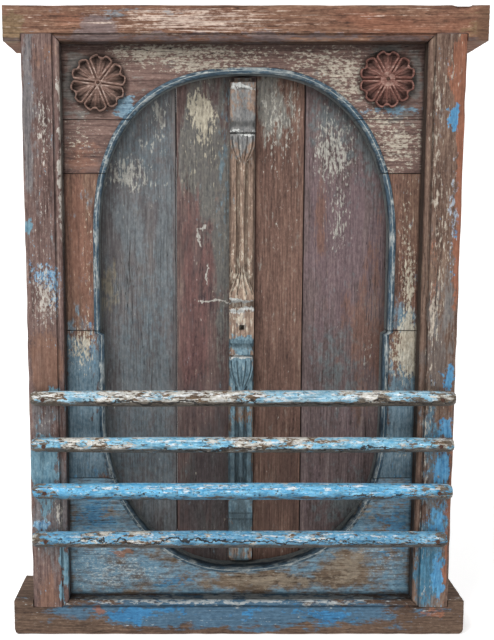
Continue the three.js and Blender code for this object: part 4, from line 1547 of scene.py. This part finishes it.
class OLDWINDOW_OT_surround(bpy.types.Operator):
    """Makes the eight boards of the arched surround"""

    bl_idname = "old_window.surround"
    bl_label = "Surround"

    def execute(self, context):
        upper, sides, lower = upper_surround_timber(), side_surround_timber(), lower_surround_timber()
        top = weather(end_board("upper"), "x", 5, 0.8, 0.7, joint_dip, surround_shade_and_joints)
        keep(top, "surround_top", "frame", "top_board", upper)
        bottom = weather(end_board("lower"), "x", 6, 0.8, 0.7, joint_dip, surround_shade_and_joints)
        keep(bottom, "surround_bottom", "frame", "bottom_board", lower)
        levels = [
            ("corner", "corner_board", "corner", "top", "x", upper),
            ("upper", "side_board_upper", "middle", "corner", "z", sides),
            ("lower", "side_board_lower", "bottom", "middle", "z", sides),
        ]
        for index, (name, node, low, high, grain, timber) in enumerate(levels):
            for side, word in ((-1, "left"), (1, "right")):
                board = side_board(side, JOINTS[low], JOINTS[high])
                weather(board, grain, 7 + 2 * index + (side > 0), 0.8, 0.7, joint_dip, surround_shade_and_joints)
                keep(board, f"surround_{name}_{word}", "frame", f"{node}_{word}", timber)
        return {"FINISHED"}


class OLDWINDOW_OT_rosettes(bpy.types.Operator):
    """Carves the two rosettes"""

    bl_idname = "old_window.rosettes"
    bl_label = "Rosettes"

    def execute(self, context):
        for side, x, z, turn, flat in ROSETTES:
            timber = carved_teak(side)
            carving = weather(rosette(x, z, turn, flat), "x", 13 + (x > 0), 0.0, 0.3, shade_and_joints=rosette_hollow_shade)
            keep(carving, f"carved_rosette_{side}", "frame", f"rosette_{side}", timber)
        return {"FINISHED"}


class OLDWINDOW_OT_rods(bpy.types.Operator):
    """Makes the four guard rods"""

    bl_idname = "old_window.rods"
    bl_label = "Guard rods"

    def execute(self, context):
        for index, (height, radius, start, end) in enumerate(RODS):
            stick = guard_rod(height, radius, start, end, index + 1)
            weather(stick, "x", 15 + index, 0.0, 0.9, rod_splits(index + 1), rod_underside_shade(height, radius))
            name = f"rod_{index + 1}"
            keep(stick, f"guard_{name}", "frame", name, rod_timber(index))
        return {"FINISHED"}


class OLDWINDOW_OT_nails(bpy.types.Operator):
    """Makes the forged nails of the rods and the rosettes"""

    bl_idname = "old_window.nails"
    bl_label = "Nails"

    def execute(self, context):
        iron = forged_iron()
        for index, (height, *_) in enumerate(RODS):
            for side, word in ((-1, "left"), (1, "right")):
                shaft = forged_nail(side * NAIL_X, ROD_FLAT, height, NAIL_LENGTHS["rod"])
                node = f"rod_{index + 1}_nail_{word}"
                keep(shaft, f"forged_{node}", "frame", node, iron)
        for side, x, z, _, _ in ROSETTES:
            top = SURROUND[0] - GAP - ROSETTE_RISE
            shaft = forged_nail(x, top, z, NAIL_LENGTHS["rosette"], 3.0)
            node = f"rosette_{side}_nail"
            keep(shaft, f"forged_{node}", "frame", node, iron)
        return {"FINISHED"}


class OLDWINDOW_OT_shutters(bpy.types.Operator):
    """Makes the planks and the ledges of the two shutters"""

    bl_idname = "old_window.shutters"
    bl_label = "Shutters"

    def execute(self, context):
        boards = [
            ("left_leaf", "outer_board", -PIN["x"], SEAMS[0] - SEAM_GAP, 0, 1, -1),
            ("left_leaf", "inner_board", SEAMS[0] + SEAM_GAP, MEETING[0], 1, 0, 0),
            ("right_leaf", "inner_board", MEETING[1], SEAMS[1] - SEAM_GAP, 0, 1, 0),
            ("right_leaf", "outer_board", SEAMS[1] + SEAM_GAP, PIN["x"], 1, 0, 1),
        ]
        for index, (body, name, start, end, open_start, open_end, pin_side) in enumerate(boards):
            board = plank(start, end, open_start, open_end, pin_side)
            weather(board, "z", 20 + index, 1.0, 0.8, shade_and_joints=plank_shade_and_seams, still=1.0)
            node = f"{body}_{name}"
            keep(board, f"{node}_plank", body, node, plank_timber(index))
        teak = plain_teak()
        for index, (body, (start, end)) in enumerate(LEDGE_ENDS.items()):
            for level, low in LEDGES.items():
                batten = weather(ledge(start, end, low), "x", 26 + 2 * index + (low > 500), 1.2, 0.6)
                node = f"{body}_{level}_ledge"
                keep(batten, f"{node}_batten", body, node, teak)
        return {"FINISHED"}


class OLDWINDOW_OT_astragal(bpy.types.Operator):
    """Carves the astragal of the left shutter"""

    bl_idname = "old_window.astragal"
    bl_label = "Astragal"

    def execute(self, context):
        strip = weather(astragal(), "z", 30, 0.6, 0.6, shade_and_joints=astragal_painted_shade)
        keep(strip, "carved_astragal", "left_leaf", "astragal", astragal_timber())
        return {"FINISHED"}


class OLDWINDOW_OT_stage(bpy.types.Operator):
    """Sets the floor and backdrop, the lights and the camera"""

    bl_idname = "old_window.stage"
    bl_label = "Stage"

    def execute(self, context):
        scene = context.scene
        settings = scene.old_window
        bm = bmesh.new()
        bmesh.ops.create_grid(bm, x_segments=1, y_segments=60, size=0.5)
        width, front, flat, bend = SWEEP.values()
        for vert in bm.verts:
            along = (vert.co.y + 0.5) * width
            turn = clamp((along - flat) / (bend * math.pi / 2)) * math.pi / 2
            rise = max(0.0, along - flat - bend * math.pi / 2)
            y = min(along, flat) + bend * math.sin(turn) + front
            vert.co = (vert.co.x * width, y, bend * (1 - math.cos(turn)) + rise)
        mesh = bpy.data.meshes.new("paper_sweep")
        bm.to_mesh(mesh)
        bm.free()
        mesh.polygons.foreach_set("use_smooth", [True] * len(mesh.polygons))
        sweep = bpy.data.objects.new("paper_sweep", mesh)
        sweep.data.materials.append(studio_white())
        scene.collection.objects.link(sweep)
        for name, place, size, share in LIGHTS:
            lamp = bpy.data.lights.new(name, "AREA")
            lamp.shape, lamp.size, lamp.energy = "SQUARE", size, settings.key_power * share
            holder = bpy.data.objects.new(name, lamp)
            holder.location = place
            aim = Vector(LIGHT_AIM) - Vector(place)
            holder.rotation_euler = aim.to_track_quat("-Z", "Y").to_euler()
            scene.collection.objects.link(holder)
        world = bpy.data.worlds.new("soft_room")
        world.use_nodes = True
        sky = world.node_tree.nodes["Background"]
        sky.inputs["Color"].default_value = (*settings.backdrop_light, 1.0)
        # The backdrop is as white as the paper; the light from it is softer
        seen = add(world.node_tree, "LightPath", {}, {}).outputs["Is Camera Ray"]
        white = add(world.node_tree, "MapRange", {}, {"Value": seen, "To Min": ROOM_STRENGTH})
        world.node_tree.links.new(white.outputs[0], sky.inputs["Strength"])
        scene.world = world
        scene.view_settings.view_transform = "Standard"
        lens = bpy.data.cameras.new("studio_camera")
        lens.lens, lens.sensor_width, lens.shift_x = CAMERA["lens"], 36.0, CAMERA["shift"]
        camera = bpy.data.objects.new("studio_camera", lens)
        camera.location = CAMERA["place"]
        camera.rotation_euler = (math.radians(CAMERA["tilt"]), 0.0, 0.0)
        scene.collection.objects.link(camera)
        bpy.context.scene.camera = camera
        return {"FINISHED"}


class OLDWINDOW_PT_panel(bpy.types.Panel):
    """The window's pieces in the order they are made."""

    bl_idname = "OLDWINDOW_PT_panel"
    bl_label = "Old shuttered window"
    bl_space_type = "VIEW_3D"
    bl_region_type = "UI"
    bl_category = "Window"

    def draw(self, context):
        for name in OldWindowSizes.__annotations__:
            self.layout.prop(context.scene.old_window, name)
        for operator in OPERATORS:
            self.layout.operator(operator.bl_idname)


OPERATORS = (
    OLDWINDOW_OT_stage,
    OLDWINDOW_OT_frame,
    OLDWINDOW_OT_surround,
    OLDWINDOW_OT_rosettes,
    OLDWINDOW_OT_rods,
    OLDWINDOW_OT_nails,
    OLDWINDOW_OT_shutters,
    OLDWINDOW_OT_astragal,
)
CLASSES = (OldWindowSizes, *OPERATORS, OLDWINDOW_PT_panel)


def register():
    """Makes the classes and the settings known."""
    for each in CLASSES:
        bpy.utils.register_class(each)
    bpy.types.Scene.old_window = bpy.props.PointerProperty(type=OldWindowSizes)


def unregister():
    """Forgets the settings and the classes."""
    del bpy.types.Scene.old_window
    for each in reversed(CLASSES):
        bpy.utils.unregister_class(each)


def main():
    register()
    bpy.ops.old_window.stage()
    bpy.ops.old_window.frame()
    bpy.ops.old_window.surround()
    bpy.ops.old_window.rosettes()
    bpy.ops.old_window.rods()
    bpy.ops.old_window.nails()
    bpy.ops.old_window.shutters()
    bpy.ops.old_window.astragal()


if __name__ == "__main__":
    main()
